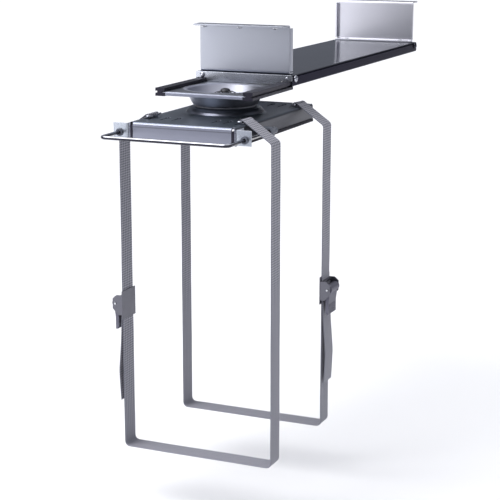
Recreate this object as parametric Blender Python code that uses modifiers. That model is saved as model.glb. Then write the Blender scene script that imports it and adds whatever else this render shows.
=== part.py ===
"""Under-desk computer holder: hanging track, sliding carriage, swivelling tray and strap sling.

Frame: +X to the right, +Y to the rear (into the track), +Z up.
Origin: middle of the top face of the front hanger's flange, which bears on the desk's underside.
The carriage is drawn right out at the front, with its runners' rear ends still in the track's mouth.
"""
import math

import bmesh
import bpy
from mathutils import Matrix, Vector

for old in list(bpy.data.objects):
    bpy.data.objects.remove(old, do_unlink=True)

MM = 0.001
GAP = 0.3 * MM                      # clearance kept between touching pieces

# Hangers: a folded sheet at each end of the track
HANGER_DROP = 68.0 * MM             # desk underside to the top of the track
HANGER_WIDTH = 139.0 * MM
HANGER_SHEET = 2.4 * MM
HANGER_FLANGE = 25.0 * MM           # top flange, along Y
HANGER_FOOT = 13.0 * MM             # foot on the track, along Y
HANGER_RETURN = 8.0 * MM            # stiffening return down each side
SCREW_PITCH = 54.0 * MM             # three desk screws across each flange

# Track: a C channel open below, with inward lips
TRACK_LENGTH = 559.0 * MM
TRACK_WIDTH = 148.0 * MM
TRACK_HEIGHT = 16.0 * MM
TRACK_SHEET = 2.0 * MM
TRACK_LIP = 5.0 * MM
TRACK_FRONT = 8.0 * MM              # Y of the channel's front end
TRACK_TOP = -HANGER_DROP
TRACK_REAR = TRACK_FRONT + TRACK_LENGTH

# Carriage: dished plate between two grooved runners
RUNNER_LENGTH = 140.0 * MM
RUNNER_WIDTH = 14.0 * MM
RUNNER_HEIGHT = 11.0 * MM
RUNNER_OUTER = TRACK_WIDTH / 2 - TRACK_SHEET - 0.5 * MM
RUNNER_TOP = TRACK_TOP - 9.5 * MM
ENGAGED = 8.0 * MM                  # runner length in the track's mouth when drawn out
PLATE_SHEET = 1.6 * MM
PLATE_TOP = TRACK_TOP - 14.2 * MM
BOWL_RIM = 56.5 * MM
BOWL_FLOOR = 43.0 * MM
BOWL_DEPTH = 20.2 * MM
BOSS_RISE = 11.4 * MM               # raised boss in the bowl's floor, under the spider spring
CARRIAGE_Y = TRACK_FRONT + ENGAGED - RUNNER_LENGTH / 2

# Tray: folded cover plate on the computer case, with a raised swivel seat
TRAY_LENGTH = 268.0 * MM
TRAY_WIDTH = 154.0 * MM
TRAY_FRONT = CARRIAGE_Y - 136.0 * MM
TRAY_TOP = TRACK_TOP - 47.0 * MM
TRAY_FOOT = TRACK_TOP - 70.5 * MM
TRAY_SHEET = 2.0 * MM
CORNER_GAP = 4.0 * MM               # between the end flanges and the side flanges
SEAT_TOP = TRACK_TOP - 38.0 * MM
SEAT_RADIUS = 57.0 * MM
SLOT_X = (28.5 * MM, 45.5 * MM, 62.5 * MM)

# Pull handle: a wire bail sliding through bushes in the tray's ears
WIRE_RADIUS = 2.5 * MM
WIRE_BORE = WIRE_RADIUS + GAP           # bores that the wire slides in
HANDLE_X = 90.0 * MM
HANDLE_Z = TRACK_TOP - 61.5 * MM
HANDLE_REACH = 52.0 * MM            # crossbar ahead of the tray's front
HANDLE_CORNER = 7.0 * MM
GUIDE_Y = TRAY_FRONT + 82.0 * MM

# Straps: webbing slung round the case
CASE_HALF = 109.0 * MM
CASE_TOP = TRACK_TOP - 72.6 * MM
CASE_HEIGHT = 440.0 * MM
WEB_WIDTH = 30.0 * MM
WEB = 1.4 * MM
WEB_X = 111.2 * MM                  # middle of the webbing on the case's sides
WEB_BOTTOM = CASE_TOP - CASE_HEIGHT - 1.1 * MM
HOOK_X = 69.0 * MM
PRONG_X = 61.5 * MM                 # hook's prong, in the outermost slot
HOOK_Z = TRAY_TOP + 3.2 * MM
HOOK_WIRE = 1.2 * MM
STRAP_Y = (TRAY_FRONT + 51.0 * MM, TRAY_FRONT + 236.0 * MM)
BUCKLE_Z = CASE_TOP - 236.0 * MM
LEVER_X = 120.8 * MM                # buckle lever's pin

TURN = 2 * math.pi


# ---------------------------------------------------------------- collections, materials, bodies
parts = bpy.data.collections.new("cpu_holder")
bpy.context.scene.collection.children.link(parts)
cutters = bpy.data.collections.new("cutters")
bpy.context.scene.collection.children.link(cutters)


def material(name, colour, roughness, metallic):
    """A Principled material."""
    mat = bpy.data.materials.new(name)
    mat.use_nodes = True
    shader = mat.node_tree.nodes["Principled BSDF"]
    shader.inputs["Base Color"].default_value = (*colour, 1.0)
    shader.inputs["Roughness"].default_value = roughness
    shader.inputs["Metallic"].default_value = metallic
    return mat


def body(name, location, parent=None):
    """An empty on a moving body's joint axis."""
    empty = bpy.data.objects.new(name, None)
    empty.empty_display_size = 0.02
    parts.objects.link(empty)
    empty.location = location
    if parent is not None:
        empty.parent = parent
        empty.location = Vector(location) - world_of(parent)
    return empty


def world_of(obj):
    """World position of an unrotated chain of empties."""
    at = Vector(obj.location)
    while obj.parent is not None:
        obj = obj.parent
        at = at + obj.location
    return at


track_body = body("track_body", (0, 0, 0))
carriage_body = body("carriage_body", (0, CARRIAGE_Y, PLATE_TOP), track_body)
tray_body = body("tray_body", (0, CARRIAGE_Y, SEAT_TOP), carriage_body)
handle_body = body("handle_body", (0, TRAY_FRONT, HANDLE_Z), tray_body)


def place(obj, owner, at, name=None, colour=None, roughness=0.4, metallic=0.0):
    """Put an object on a body at a world position, with a material of its own."""
    parts.objects.link(obj)
    obj.parent = owner
    obj.location = Vector(at) - world_of(owner)
    if colour is not None:
        obj.data.materials.clear()
        obj.data.materials.append(material(obj.name, colour, roughness, metallic))
    return obj


def tool(obj, at):
    """Keep an object as a Boolean operand, out of the built parts."""
    cutters.objects.link(obj)
    obj.location = at
    obj.hide_render = True
    obj.display_type = "WIRE"
    return obj


def cut(target, other):
    """Cut another object out of the target."""
    mod = target.modifiers.new("cut_" + other.name, "BOOLEAN")
    mod.operation = "DIFFERENCE"
    mod.solver = "EXACT"
    mod.object = other
    return target


def join(target, other):
    """Weld another object onto the target."""
    mod = target.modifiers.new("join_" + other.name, "BOOLEAN")
    mod.operation = "UNION"
    mod.solver = "EXACT"
    mod.object = other
    return target


def keep(target, other):
    """Keep only what the target shares with another object."""
    mod = target.modifiers.new("keep_" + other.name, "BOOLEAN")
    mod.operation = "INTERSECT"
    mod.solver = "EXACT"
    mod.object = other
    return target


# ---------------------------------------------------------------- shapes
AXIS_TURN = {
    "Z": Matrix.Identity(4),
    "Y": Matrix.Rotation(math.radians(-90), 4, "X"),
    "X": Matrix.Rotation(math.radians(90), 4, "Y"),
}


def arc_points(centre, radius, start, end, steps):
    """Points on an arc, both ends included."""
    found = []
    for i in range(steps + 1):
        angle = start + (end - start) * i / steps
        found.append((centre[0] + radius * math.cos(angle), centre[1] + radius * math.sin(angle)))
    return found


def filleted(points, radius, steps=4, closed=False):
    """A path of 2D or 3D corner points with each corner rounded; radius is one value or a list."""
    count = len(points)
    radii = radius if isinstance(radius, (list, tuple)) else [radius] * count
    path = []
    for i in range(count):
        here = Vector(points[i])
        if not closed and i in (0, count - 1):
            path.append(here)
            continue
        before = (Vector(points[i - 1]) - here).normalized()
        after = (Vector(points[(i + 1) % count]) - here).normalized()
        bend = math.acos(max(-1.0, min(1.0, before.dot(after))))
        if radii[i] <= 0 or abs(bend - math.pi) < 1e-4:
            path.append(here)
            continue
        back = radii[i] / math.tan(bend / 2)
        middle = here + (before + after).normalized() * (radii[i] / math.sin(bend / 2))
        first = here + before * back - middle
        last = here + after * back - middle
        sweep = math.pi - bend
        for k in range(steps + 1):
            t = k / steps
            a = math.sin((1 - t) * sweep) / math.sin(sweep)
            b = math.sin(t * sweep) / math.sin(sweep)
            path.append(middle + first * a + last * b)
    return path


def box(name, size, round_by=0.0):
    """A box about its own middle."""
    mesh = bpy.data.meshes.new(name)
    bm = bmesh.new()
    bmesh.ops.create_cube(bm, size=1.0)
    bmesh.ops.scale(bm, vec=size, verts=bm.verts)
    bm.to_mesh(mesh)
    bm.free()
    obj = bpy.data.objects.new(name, mesh)
    if round_by > 0:
        bevel(obj, round_by)
    return obj


def bevel(obj, width, segments=2, angle=40.0):
    """Round the object's sharp edges."""
    mod = obj.modifiers.new("bevel", "BEVEL")
    mod.width = width
    mod.segments = segments
    mod.limit_method = "ANGLE"
    mod.angle_limit = math.radians(angle)
    return obj


def rod(name, radius, length, axis="Z", segments=20, hex_head=False):
    """A cylinder about its own middle, along an axis."""
    mesh = bpy.data.meshes.new(name)
    bm = bmesh.new()
    sides = 6 if hex_head else segments
    bmesh.ops.create_cone(
        bm, cap_ends=True, segments=sides, radius1=radius, radius2=radius, depth=length,
        matrix=AXIS_TURN[axis],
    )
    bm.to_mesh(mesh)
    bm.free()
    mesh.shade_smooth()
    mesh.set_sharp_from_angle(angle=math.radians(35))
    return bpy.data.objects.new(name, mesh)


def turned(name, profile, axis="Z", steps=20, closed=False):
    """A turned shape: (radius, height) profile points down the outer side, about an axis."""
    mesh = bpy.data.meshes.new(name)
    bm = bmesh.new()
    verts = [bm.verts.new((r, 0.0, h)) for r, h in profile]
    for i in range(len(verts) - 1):
        bm.edges.new((verts[i], verts[i + 1]))
    if closed:
        bm.edges.new((verts[-1], verts[0]))
    bm.to_mesh(mesh)
    bm.free()
    obj = bpy.data.objects.new(name, mesh)
    mod = obj.modifiers.new("turn", "SCREW")
    mod.axis = "Z"
    mod.angle = TURN
    mod.steps = steps
    mod.render_steps = steps
    mod.use_merge_vertices = True
    mod.merge_threshold = 0.00001
    mod.use_smooth_shade = True
    obj.matrix_world = AXIS_TURN[axis]
    return obj


def sheet(name, path, width, thickness, along="X", shift=0.0):
    """A folded strip: a path in the plane across an axis, drawn out along it and thickened.

    along X: path points are (y, z). along Y: (x, z). along Z: (x, y).
    """
    mesh = bpy.data.meshes.new(name)
    bm = bmesh.new()
    start = shift - width / 2

    def at(point):
        a, b = point[0], point[1]
        if along == "X":
            return (start, a, b)
        if along == "Y":
            return (a, start, b)
        return (a, b, start)

    verts = [bm.verts.new(at(p)) for p in path]
    edges = [bm.edges.new((verts[i], verts[i + 1])) for i in range(len(verts) - 1)]
    step = {"X": (width, 0, 0), "Y": (0, width, 0), "Z": (0, 0, width)}[along]
    drawn = bmesh.ops.extrude_edge_only(bm, edges=edges)
    moved = [g for g in drawn["geom"] if isinstance(g, bmesh.types.BMVert)]
    bmesh.ops.translate(bm, verts=moved, vec=step)
    bmesh.ops.recalc_face_normals(bm, faces=bm.faces)
    bm.to_mesh(mesh)
    bm.free()
    mesh.shade_smooth()
    obj = bpy.data.objects.new(name, mesh)
    mod = obj.modifiers.new("thickness", "SOLIDIFY")
    mod.thickness = thickness
    mod.offset = 0.0
    mod.use_even_offset = True
    return obj


def as_mesh(obj):
    """Turn a curve object into a closed mesh object of the same name and place."""
    name = obj.name
    bpy.context.scene.collection.objects.link(obj)
    bpy.context.view_layer.update()
    evaluated = obj.evaluated_get(bpy.context.evaluated_depsgraph_get())
    mesh = bpy.data.meshes.new_from_object(evaluated)
    turn = obj.matrix_world.copy()
    bm = bmesh.new()
    bm.from_mesh(mesh)
    bmesh.ops.remove_doubles(bm, verts=bm.verts, dist=0.000001)
    bm.to_mesh(mesh)
    bm.free()
    mesh.materials.clear()
    bpy.data.objects.remove(obj, do_unlink=True)
    made = bpy.data.objects.new(name, mesh)
    made.matrix_world = turn
    return made


def slab(name, outline, thickness, across="Z"):
    """A flat outline given thickness. across Z: (x, y); across Y: (x, z); across X: (y, z)."""
    curve = bpy.data.curves.new(name, "CURVE")
    curve.dimensions = "2D"
    curve.fill_mode = "BOTH"
    curve.extrude = thickness / 2
    spline = curve.splines.new("POLY")
    spline.points.add(len(outline) - 1)
    for point, corner in zip(spline.points, outline):
        point.co = (corner[0], corner[1], 0.0, 1.0)
    spline.use_cyclic_u = True
    obj = bpy.data.objects.new(name, curve)
    if across == "Y":
        obj.rotation_euler = (math.radians(90), 0, 0)
    if across == "X":
        obj.rotation_euler = (math.radians(90), 0, math.radians(90))
    return as_mesh(obj)


def wire(name, path, radius, closed=False, resolution=2):
    """Round wire along a path."""
    curve = bpy.data.curves.new(name, "CURVE")
    curve.dimensions = "3D"
    curve.bevel_depth = radius
    curve.bevel_resolution = resolution
    curve.use_fill_caps = not closed
    spline = curve.splines.new("POLY")
    spline.points.add(len(path) - 1)
    for point, at in zip(spline.points, path):
        point.co = (at[0], at[1], at[2], 1.0)
    spline.use_cyclic_u = closed
    made = as_mesh(bpy.data.objects.new(name, curve))
    made.data.shade_smooth()
    made.data.set_sharp_from_angle(angle=math.radians(50))
    return made


def dome_profile(head, height, shank, length):
    """Domed head above z=0 and a plain shank below it."""
    return [
        (0.0, height), (head * 0.45, height * 0.93), (head * 0.8, height * 0.62),
        (head, height * 0.18), (head, 0.0), (shank, 0.0), (shank, -length), (0.0, -length),
    ]


def rivet_profile(head, height, shank, grip, tail):
    """Domed head, shank through the grip and a formed tail below."""
    return [
        (0.0, height), (head * 0.6, height * 0.8), (head, height * 0.2), (head, 0.0),
        (shank, 0.0), (shank, -grip), (tail, -grip), (tail * 0.8, -grip - height * 0.7),
        (0.0, -grip - height * 0.8),
    ]


SATIN = (0.56, 0.57, 0.62)
SLATE = (0.12, 0.15, 0.19)
BLACK = (0.02, 0.02, 0.025)
GREY = (0.11, 0.12, 0.14)
BLACKENED = (0.05, 0.05, 0.055)
CHROME = (0.72, 0.73, 0.76)
WEBBING = (0.62, 0.61, 0.70)


# ---------------------------------------------------------------- track
def track_outline():
    """Centreline of the channel's section, from lip to lip."""
    half = TRACK_WIDTH / 2 - TRACK_SHEET / 2
    inner = TRACK_WIDTH / 2 - TRACK_LIP
    top = TRACK_TOP - TRACK_SHEET / 2
    low = TRACK_TOP - TRACK_HEIGHT + TRACK_SHEET / 2
    corners = [(-inner, low), (-half, low), (-half, top), (half, top), (half, low), (inner, low)]
    return filleted(corners, [0, 1.4 * MM, 2.2 * MM, 2.2 * MM, 1.4 * MM, 0], steps=3)


def build_track():
    channel = sheet("track_channel", track_outline(), TRACK_LENGTH, TRACK_SHEET, along="Y")
    place(channel, track_body, (0, (TRACK_FRONT + TRACK_REAR) / 2, 0), colour=SLATE,
          roughness=0.25, metallic=0.8)
    for index, y in enumerate(SIDE_SCREW_Y):
        hole = tool(rod(f"side_screw_hole_{index}", 1.9 * MM, 0.2, axis="X", segments=16),
                    (0, y, SIDE_SCREW_Z))
        cut(channel, hole)
        cut(STOPS[index], hole)
    for index, (x, y) in enumerate(RIVETS):
        hole = tool(rod(f"hanger_rivet_hole_{index}", 2.3 * MM, 0.03, segments=16), (x, y, TRACK_TOP))
        cut(channel, hole)
        cut(HANGERS[0 if y < 0.2 else 1], hole)
    return channel


def end_bar(name, y_face, inward, ends_low, middle_low, colour):
    """Bar across the channel's end: face plate with a tab folded back inside each side flange."""
    half = TRACK_WIDTH / 2 - 0.3 * MM
    notch = RUNNER_OUTER - RUNNER_WIDTH - 0.6 * MM
    high = TRACK_TOP - GAP
    left_low = ends_low + 0.05 * MM
    corners = [
        (-half, high), (half, high), (half, ends_low), (notch, ends_low),
        (notch, middle_low), (-notch, middle_low), (-notch, left_low), (-half, left_low),
    ]
    rounding = [2.0 * MM, 2.0 * MM, 1.6 * MM, 0.8 * MM, 0.8 * MM, 0.8 * MM, 0.8 * MM, 1.6 * MM]
    if abs(ends_low - middle_low) < 1e-6:
        corners = [(-half, high), (half, high), (half, middle_low), (-half, middle_low)]
        rounding = 2.0 * MM
    outline = [(p[0], p[1]) for p in filleted(corners, rounding, steps=3, closed=True)]
    face = slab(name, outline, 1.5 * MM, across="Y")
    place(face, track_body, (0, y_face, 0), colour=colour, roughness=0.35, metallic=0.9)
    tab_top = TRACK_TOP - TRACK_SHEET - 0.5 * MM
    tab_low = TRACK_TOP - 8.6 * MM
    for side in (-1, 1):
        size = (1.5 * MM, 19.0 * MM, tab_top - tab_low)
        at = (side * (TRACK_WIDTH / 2 - TRACK_SHEET - 0.4 * MM - 0.75 * MM),
              y_face + inward * 9.4 * MM, (tab_top + tab_low) / 2)
        join(face, tool(box(f"{name}_tab_{'left' if side < 0 else 'right'}", size), at))
    return face


SIDE_SCREW_Z = TRACK_TOP - 5.6 * MM
SIDE_SCREW_Y = (TRACK_FRONT + 9.0 * MM, TRACK_REAR - 9.0 * MM)
STOPS = [
    end_bar("front_stop_bar", TRACK_FRONT - GAP - 0.75 * MM, 1, TRACK_TOP - 8.9 * MM,
            TRACK_TOP - 13.6 * MM, SATIN),
    end_bar("rear_stop_bar", TRACK_REAR + GAP + 0.75 * MM, -1, TRACK_TOP - 15.7 * MM,
            TRACK_TOP - 15.7 * MM, SLATE),
]
for end, y_screw in zip(("front", "rear"), SIDE_SCREW_Y):
    for side, label in ((-1, "left"), (1, "right")):
        screw = turned(f"{end}_side_screw_{label}",
                       dome_profile(4.9 * MM, 3.0 * MM, 1.6 * MM, 6.0 * MM), axis="Z", steps=16)
        screw.matrix_world = Matrix.Rotation(math.radians(90 * side), 4, "Y")
        place(screw, track_body, (side * (TRACK_WIDTH / 2 + GAP), y_screw, SIDE_SCREW_Z),
              colour=CHROME if end == "front" else BLACKENED, roughness=0.2, metallic=1.0)

BAR_BOLT_Z = TRACK_TOP - 4.8 * MM
for label, x, head in (("lock_bolt", -63.2 * MM, 3.7 * MM), ("bar_rivet", 66.0 * MM, 2.3 * MM)):
    y_face = TRACK_FRONT - GAP - 1.5 * MM
    hole = tool(rod(f"{label}_hole", head * 0.45 + 0.3 * MM, 0.02, axis="Y", segments=16),
                (x, y_face, BAR_BOLT_Z))
    cut(STOPS[0], hole)
    bolt = turned(f"front_{label}",
                  rivet_profile(head, head * 0.5, head * 0.4, 2.1 * MM, head * 0.6), steps=14)
    bolt.matrix_world = Matrix.Rotation(math.radians(90), 4, "X")
    place(bolt, track_body, (x, y_face - GAP, BAR_BOLT_Z), colour=CHROME, roughness=0.2, metallic=1.0)


def hanger(name, panel_y, toward):
    """Folded hanger: flange under the desk, panel with side returns, foot on the track."""
    t = HANGER_SHEET
    top = -(t - 0.1 * MM) / 2
    low = TRACK_TOP + GAP + (t - 0.1 * MM) / 2
    flange_tip = panel_y + toward * (HANGER_FLANGE - t / 2)
    foot_tip = panel_y - toward * HANGER_FOOT
    section = filleted([(flange_tip, top), (panel_y, top), (panel_y, low), (foot_tip, low)],
                       2.4 * MM, steps=4)
    made = sheet(name, section, HANGER_WIDTH - 3.0 * MM, t - 0.1 * MM, along="X")
    place(made, track_body, (0, 0, 0), colour=SATIN, roughness=0.35, metallic=0.9)
    half = HANGER_WIDTH / 2 - t / 2
    back = panel_y - toward * HANGER_RETURN
    skin = filleted([(-half, back), (-half, panel_y), (half, panel_y), (half, back)], 2.4 * MM, steps=4)
    height = HANGER_DROP - 9.0 * MM
    panel = sheet(name + "_returns", skin, height, t, along="Z")
    join(made, tool(panel, (0, 0, -HANGER_DROP / 2)))
    for index in (-1, 0, 1):
        y_hole = panel_y + toward * 18.5 * MM
        cut(made, tool(rod(f"{name}_hole_{index + 1}", 2.6 * MM, 0.02, segments=16),
                       (index * SCREW_PITCH, y_hole, 0)))
        screw = turned(f"{name}_screw_{('left', 'middle', 'right')[index + 1]}",
                       dome_profile(4.6 * MM, 2.4 * MM, 2.2 * MM, 2.5 * MM), steps=12)
        screw.matrix_world = Matrix.Rotation(math.radians(180), 4, "X")
        place(screw, track_body, (index * SCREW_PITCH, y_hole, -t - GAP), colour=CHROME,
              roughness=0.3, metallic=1.0)
    return made


PANEL_Y = HANGER_FLANGE / 2 - HANGER_SHEET / 2
REAR_PANEL_Y = TRACK_REAR - 4.0 * MM
HANGERS = [hanger("front_hanger", PANEL_Y, -1), hanger("rear_hanger", REAR_PANEL_Y, 1)]

RIVETS = []
for end, y_rivet in (("front", PANEL_Y + 8.0 * MM), ("rear", REAR_PANEL_Y - 8.0 * MM)):
    for x_rivet, label in ((-48.0 * MM, "left"), (48.0 * MM, "right")):
        RIVETS.append((x_rivet, y_rivet))
        rivet = turned(f"{end}_hanger_rivet_{label}",
                       rivet_profile(3.6 * MM, 1.3 * MM, 2.0 * MM,
                                     HANGER_SHEET + TRACK_SHEET + 3 * GAP, 3.2 * MM), steps=12)
        place(rivet, track_body, (x_rivet, y_rivet, TRACK_TOP + HANGER_SHEET + 2 * GAP),
              colour=SATIN, roughness=0.35, metallic=1.0)

build_track()


# ---------------------------------------------------------------- carriage
def build_swivel_plate():
    """Square plate with a turned-down lip front and rear, and a pressed bowl in its middle."""
    t = PLATE_SHEET
    mid = PLATE_TOP - t / 2
    half = RUNNER_LENGTH / 2 - 1.0 * MM
    section = filleted([(-half, mid - 4.6 * MM), (-half, mid), (half, mid), (half, mid - 4.6 * MM)],
                       1.8 * MM, steps=3)
    width = 2 * (RUNNER_OUTER - RUNNER_WIDTH + 3.0 * MM)
    plate = sheet("swivel_plate", section, width, t, along="X")
    place(plate, carriage_body, (0, CARRIAGE_Y, 0), colour=SATIN, roughness=0.3, metallic=0.9)
    opening = tool(rod("bowl_opening", BOWL_RIM + 1.0 * MM, 0.012, segments=60), (0, CARRIAGE_Y, mid))
    cut(plate, opening)
    # The side lips of the turned-down edges stop short of the runners.
    for side in (-1, 1):
        x = side * (RUNNER_OUTER - RUNNER_WIDTH / 2 - 0.6 * MM)
        for end in (-1, 1):
            relief = tool(box(f"lip_relief_{side + 1}_{end + 1}", (RUNNER_WIDTH, 8.0 * MM, 9.0 * MM)),
                          (x, CARRIAGE_Y + end * half, mid - t / 2 - 4.5 * MM - 0.1 * MM))
            cut(plate, relief)
    o = BOWL_RIM
    f = BOWL_FLOOR
    d = BOWL_DEPTH
    h = BOSS_RISE
    top = PLATE_TOP + 0.03 * MM
    low = PLATE_TOP - t - 0.03 * MM
    profile = [
        (o + 2.5 * MM, top), (o + 2.5 * MM, low), (o - 0.6 * MM, low), (o - 2.2 * MM, low - 1.0 * MM),
        (o - 3.4 * MM, low - 3.4 * MM), (f + 3.4 * MM, low - d + 4.2 * MM),
        (f + 1.6 * MM, low - d + 1.2 * MM), (f - 1.6 * MM, low - d), (28.2 * MM, low - d),
        (26.4 * MM, low - d + 0.8 * MM), (21.6 * MM, low - d + h - 1.6 * MM),
        (19.6 * MM, low - d + h), (5.3 * MM, low - d + h), (5.3 * MM, low - d + h + t),
        (20.2 * MM, low - d + h + t), (22.9 * MM, low - d + h + t - 1.8 * MM),
        (27.8 * MM, low - d + t + 1.0 * MM), (29.6 * MM, low - d + t),
        (f - 2.4 * MM, low - d + t), (f - 0.2 * MM, low - d + t + 0.9 * MM),
        (f + 1.5 * MM, low - d + t + 3.6 * MM), (o - 5.4 * MM, top - 4.4 * MM),
        (o - 4.0 * MM, top - 1.5 * MM), (o - 1.6 * MM, top),
    ]
    bowl = turned("pressed_bowl", profile, steps=60, closed=True)
    join(plate, tool(bowl, (0, CARRIAGE_Y, 0)))
    return plate


def build_runner(label, side):
    """Moulded runner: outer groove rides on the track's lip, inner groove grips the plate."""
    outer = RUNNER_OUTER
    inner = outer - RUNNER_WIDTH
    top = RUNNER_TOP
    low = RUNNER_TOP - RUNNER_HEIGHT
    groove_top = TRACK_TOP - 13.6 * MM
    groove_low = TRACK_TOP - 16.4 * MM
    groove_in = TRACK_WIDTH / 2 - TRACK_LIP - 0.4 * MM
    slot_in = inner + 3.4 * MM
    slot_top = PLATE_TOP + GAP
    slot_low = PLATE_TOP - PLATE_SHEET - GAP
    half = [
        (inner, slot_top), (inner, top), (outer, top), (outer, groove_top), (groove_in, groove_top),
        (groove_in, groove_low), (outer, groove_low), (outer, low), (inner, low),
        (inner, slot_low), (slot_in, slot_low), (slot_in, slot_top),
    ]
    outline = [(side * x, z) for x, z in half]
    if side < 0:
        outline.reverse()
    runner = slab(f"{label}_runner", outline, RUNNER_LENGTH, across="Y")
    bevel(runner, 0.5 * MM, segments=2)
    return place(runner, carriage_body, (0, CARRIAGE_Y, 0), colour=BLACK, roughness=0.6)


build_swivel_plate()
build_runner("left", -1)
build_runner("right", 1)

BOSS_TOP = PLATE_TOP - 0.03 * MM - BOWL_DEPTH + BOSS_RISE
disc = turned("bearing_disc", [(42.0 * MM, SEAT_TOP + 1.6 * MM), (42.0 * MM, SEAT_TOP + GAP),
                               (9.0 * MM, SEAT_TOP + GAP), (9.0 * MM, SEAT_TOP + 1.6 * MM)],
              steps=40, closed=True)
place(disc, carriage_body, (0, CARRIAGE_Y, 0), colour=(0.75, 0.75, 0.72), roughness=0.5)


# ---------------------------------------------------------------- tray
def keyhole(x, y):
    """Outline of a strap slot: a long slit with a round eye near its rear end, at (x, y)."""
    slit = 1.1 * MM
    eye = 3.4 * MM
    front = y - 22.0 * MM
    rear = y + 8.0 * MM
    turn = math.acos(slit / eye)
    right = arc_points((x, y), eye, -turn, turn, 8)
    left = arc_points((x, y), eye, math.pi - turn, math.pi + turn, 8)
    return [(x - slit, front), (x + slit, front)] + right + [(x + slit, rear), (x - slit, rear)] + left


def build_tray():
    """Folded cover plate: side, front and rear flanges, raised swivel seat and strap slots."""
    t = TRAY_SHEET
    half = TRAY_WIDTH / 2 - t / 2
    top = TRAY_TOP - t / 2
    front = TRAY_FRONT
    rear = TRAY_FRONT + TRAY_LENGTH
    middle = (front + rear) / 2
    section = filleted([(-half, TRAY_FOOT), (-half, top), (half, top), (half, TRAY_FOOT)],
                       3.0 * MM, steps=5)
    tray = sheet("holder_tray", section, TRAY_LENGTH - 1.0 * MM, t, along="Y")
    place(tray, tray_body, (0, middle, 0), colour=SLATE, roughness=0.35, metallic=0.85)
    for end, y in ((-1, front), (1, rear)):
        clear = tool(box(f"corner_relief_{end + 1}", (TRAY_WIDTH - 2 * t - 1.0 * MM, 9.0 * MM, 8.0 * MM)),
                     (0, y, TRAY_TOP - 1.5 * MM))
        cut(tray, clear)
        flange = filleted([(y - end * 16.0 * MM, top), (y - end * t / 2, top),
                           (y - end * t / 2, TAIL_Z[end])], 3.2 * MM, steps=5)
        piece = sheet(f"flange_{end + 1}", flange, TRAY_WIDTH - 2 * t - 2 * CORNER_GAP, t + 0.1 * MM, along="X")
        join(tray, tool(piece, (0, 0, 0)))
    cut(tray, tool(rod("seat_opening", SEAT_RADIUS, 0.01, segments=60), (0, CARRIAGE_Y, top)))
    r = SEAT_RADIUS
    z0 = TRAY_TOP + 0.03 * MM
    z1 = TRAY_TOP - t - 0.03 * MM
    s = SEAT_TOP
    profile = [
        (r - 12.5 * MM, s), (r - 8.5 * MM, s - 1.2 * MM), (r - 5.2 * MM, s - 4.6 * MM),
        (r - 3.4 * MM, s - 7.6 * MM), (r - 0.6 * MM, z0), (r + 2.5 * MM, z0), (r + 2.5 * MM, z1),
        (r - 1.8 * MM, z1), (r - 5.2 * MM, s - t - 6.0 * MM), (r - 7.2 * MM, s - t - 3.4 * MM),
        (r - 9.6 * MM, s - t - 1.0 * MM), (r - 13.0 * MM, s - t), (5.3 * MM, s - t), (5.3 * MM, s),
    ]
    join(tray, tool(turned("raised_seat", profile, steps=60, closed=True), (0, CARRIAGE_Y, 0)))
    for row, y in enumerate(STRAP_Y):
        for column, x in enumerate(SLOT_X):
            for side in (-1, 1):
                slot = slab(f"strap_slot_{row}_{column}_{side + 1}", keyhole(0, 0), 8.0 * MM)
                cut(tray, tool(slot, (side * x, y, top)))
    for side in (-1, 1):
        for label, y, z, radius in (("ear", EAR_RIVET_Y, EAR_RIVET_Z, 1.9 * MM),
                                    ("guide", GUIDE_Y, HANDLE_Z, 2.5 * MM)):
            hole = rod(f"{label}_hole_{side + 1}", radius, 12.0 * MM, axis="X", segments=16)
            cut(tray, tool(hole, (side * TRAY_WIDTH / 2, y, z)))
    return tray


TAIL_Z = {-1: TRAY_FOOT + 1.0 * MM, 1: TRAY_FOOT + 1.0 * MM}
EAR_RIVET_Y = TRAY_FRONT + 15.0 * MM
EAR_RIVET_Z = TRAY_TOP - 12.0 * MM
build_tray()

bolt = turned("pivot_bolt", [
    (0.0, BOSS_TOP + 8.6 * MM), (3.2 * MM, BOSS_TOP + 8.6 * MM), (5.6 * MM, BOSS_TOP + 7.6 * MM),
    (7.0 * MM, BOSS_TOP + 5.6 * MM), (7.0 * MM, BOSS_TOP + 4.9 * MM), (5.0 * MM, BOSS_TOP + 4.9 * MM),
    (5.0 * MM, SEAT_TOP - 12.5 * MM), (4.2 * MM, SEAT_TOP - 13.5 * MM), (0.0, SEAT_TOP - 13.5 * MM),
], steps=24)
place(bolt, tray_body, (0, CARRIAGE_Y, 0), colour=BLACKENED, roughness=0.4, metallic=0.7)
socket = tool(rod("bolt_socket", 2.6 * MM, 6.0 * MM, hex_head=True), (0, CARRIAGE_Y, BOSS_TOP + 9.6 * MM))
cut(bolt, socket)

spider = turned("spider_spring", [
    (8.4 * MM, BOSS_TOP + 4.6 * MM), (17.2 * MM, BOSS_TOP + 1.6 * MM), (17.2 * MM, BOSS_TOP + GAP),
    (8.2 * MM, BOSS_TOP + 3.4 * MM), (5.3 * MM, BOSS_TOP + 3.4 * MM), (5.3 * MM, BOSS_TOP + 4.6 * MM),
], steps=40, closed=True)
place(spider, tray_body, (0, CARRIAGE_Y, 0), colour=BLACKENED, roughness=0.4, metallic=0.7)
star = []
for k in range(8):
    for offset, reach in ((0.0, 8.6), (0.17, 18.0), (0.615, 18.0)):
        angle = TURN * (k + offset) / 8
        star.append((reach * MM * math.cos(angle), reach * MM * math.sin(angle)))
keep(spider, tool(slab("spider_legs", star, 20.0 * MM), (0, CARRIAGE_Y, BOSS_TOP)))

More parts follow.
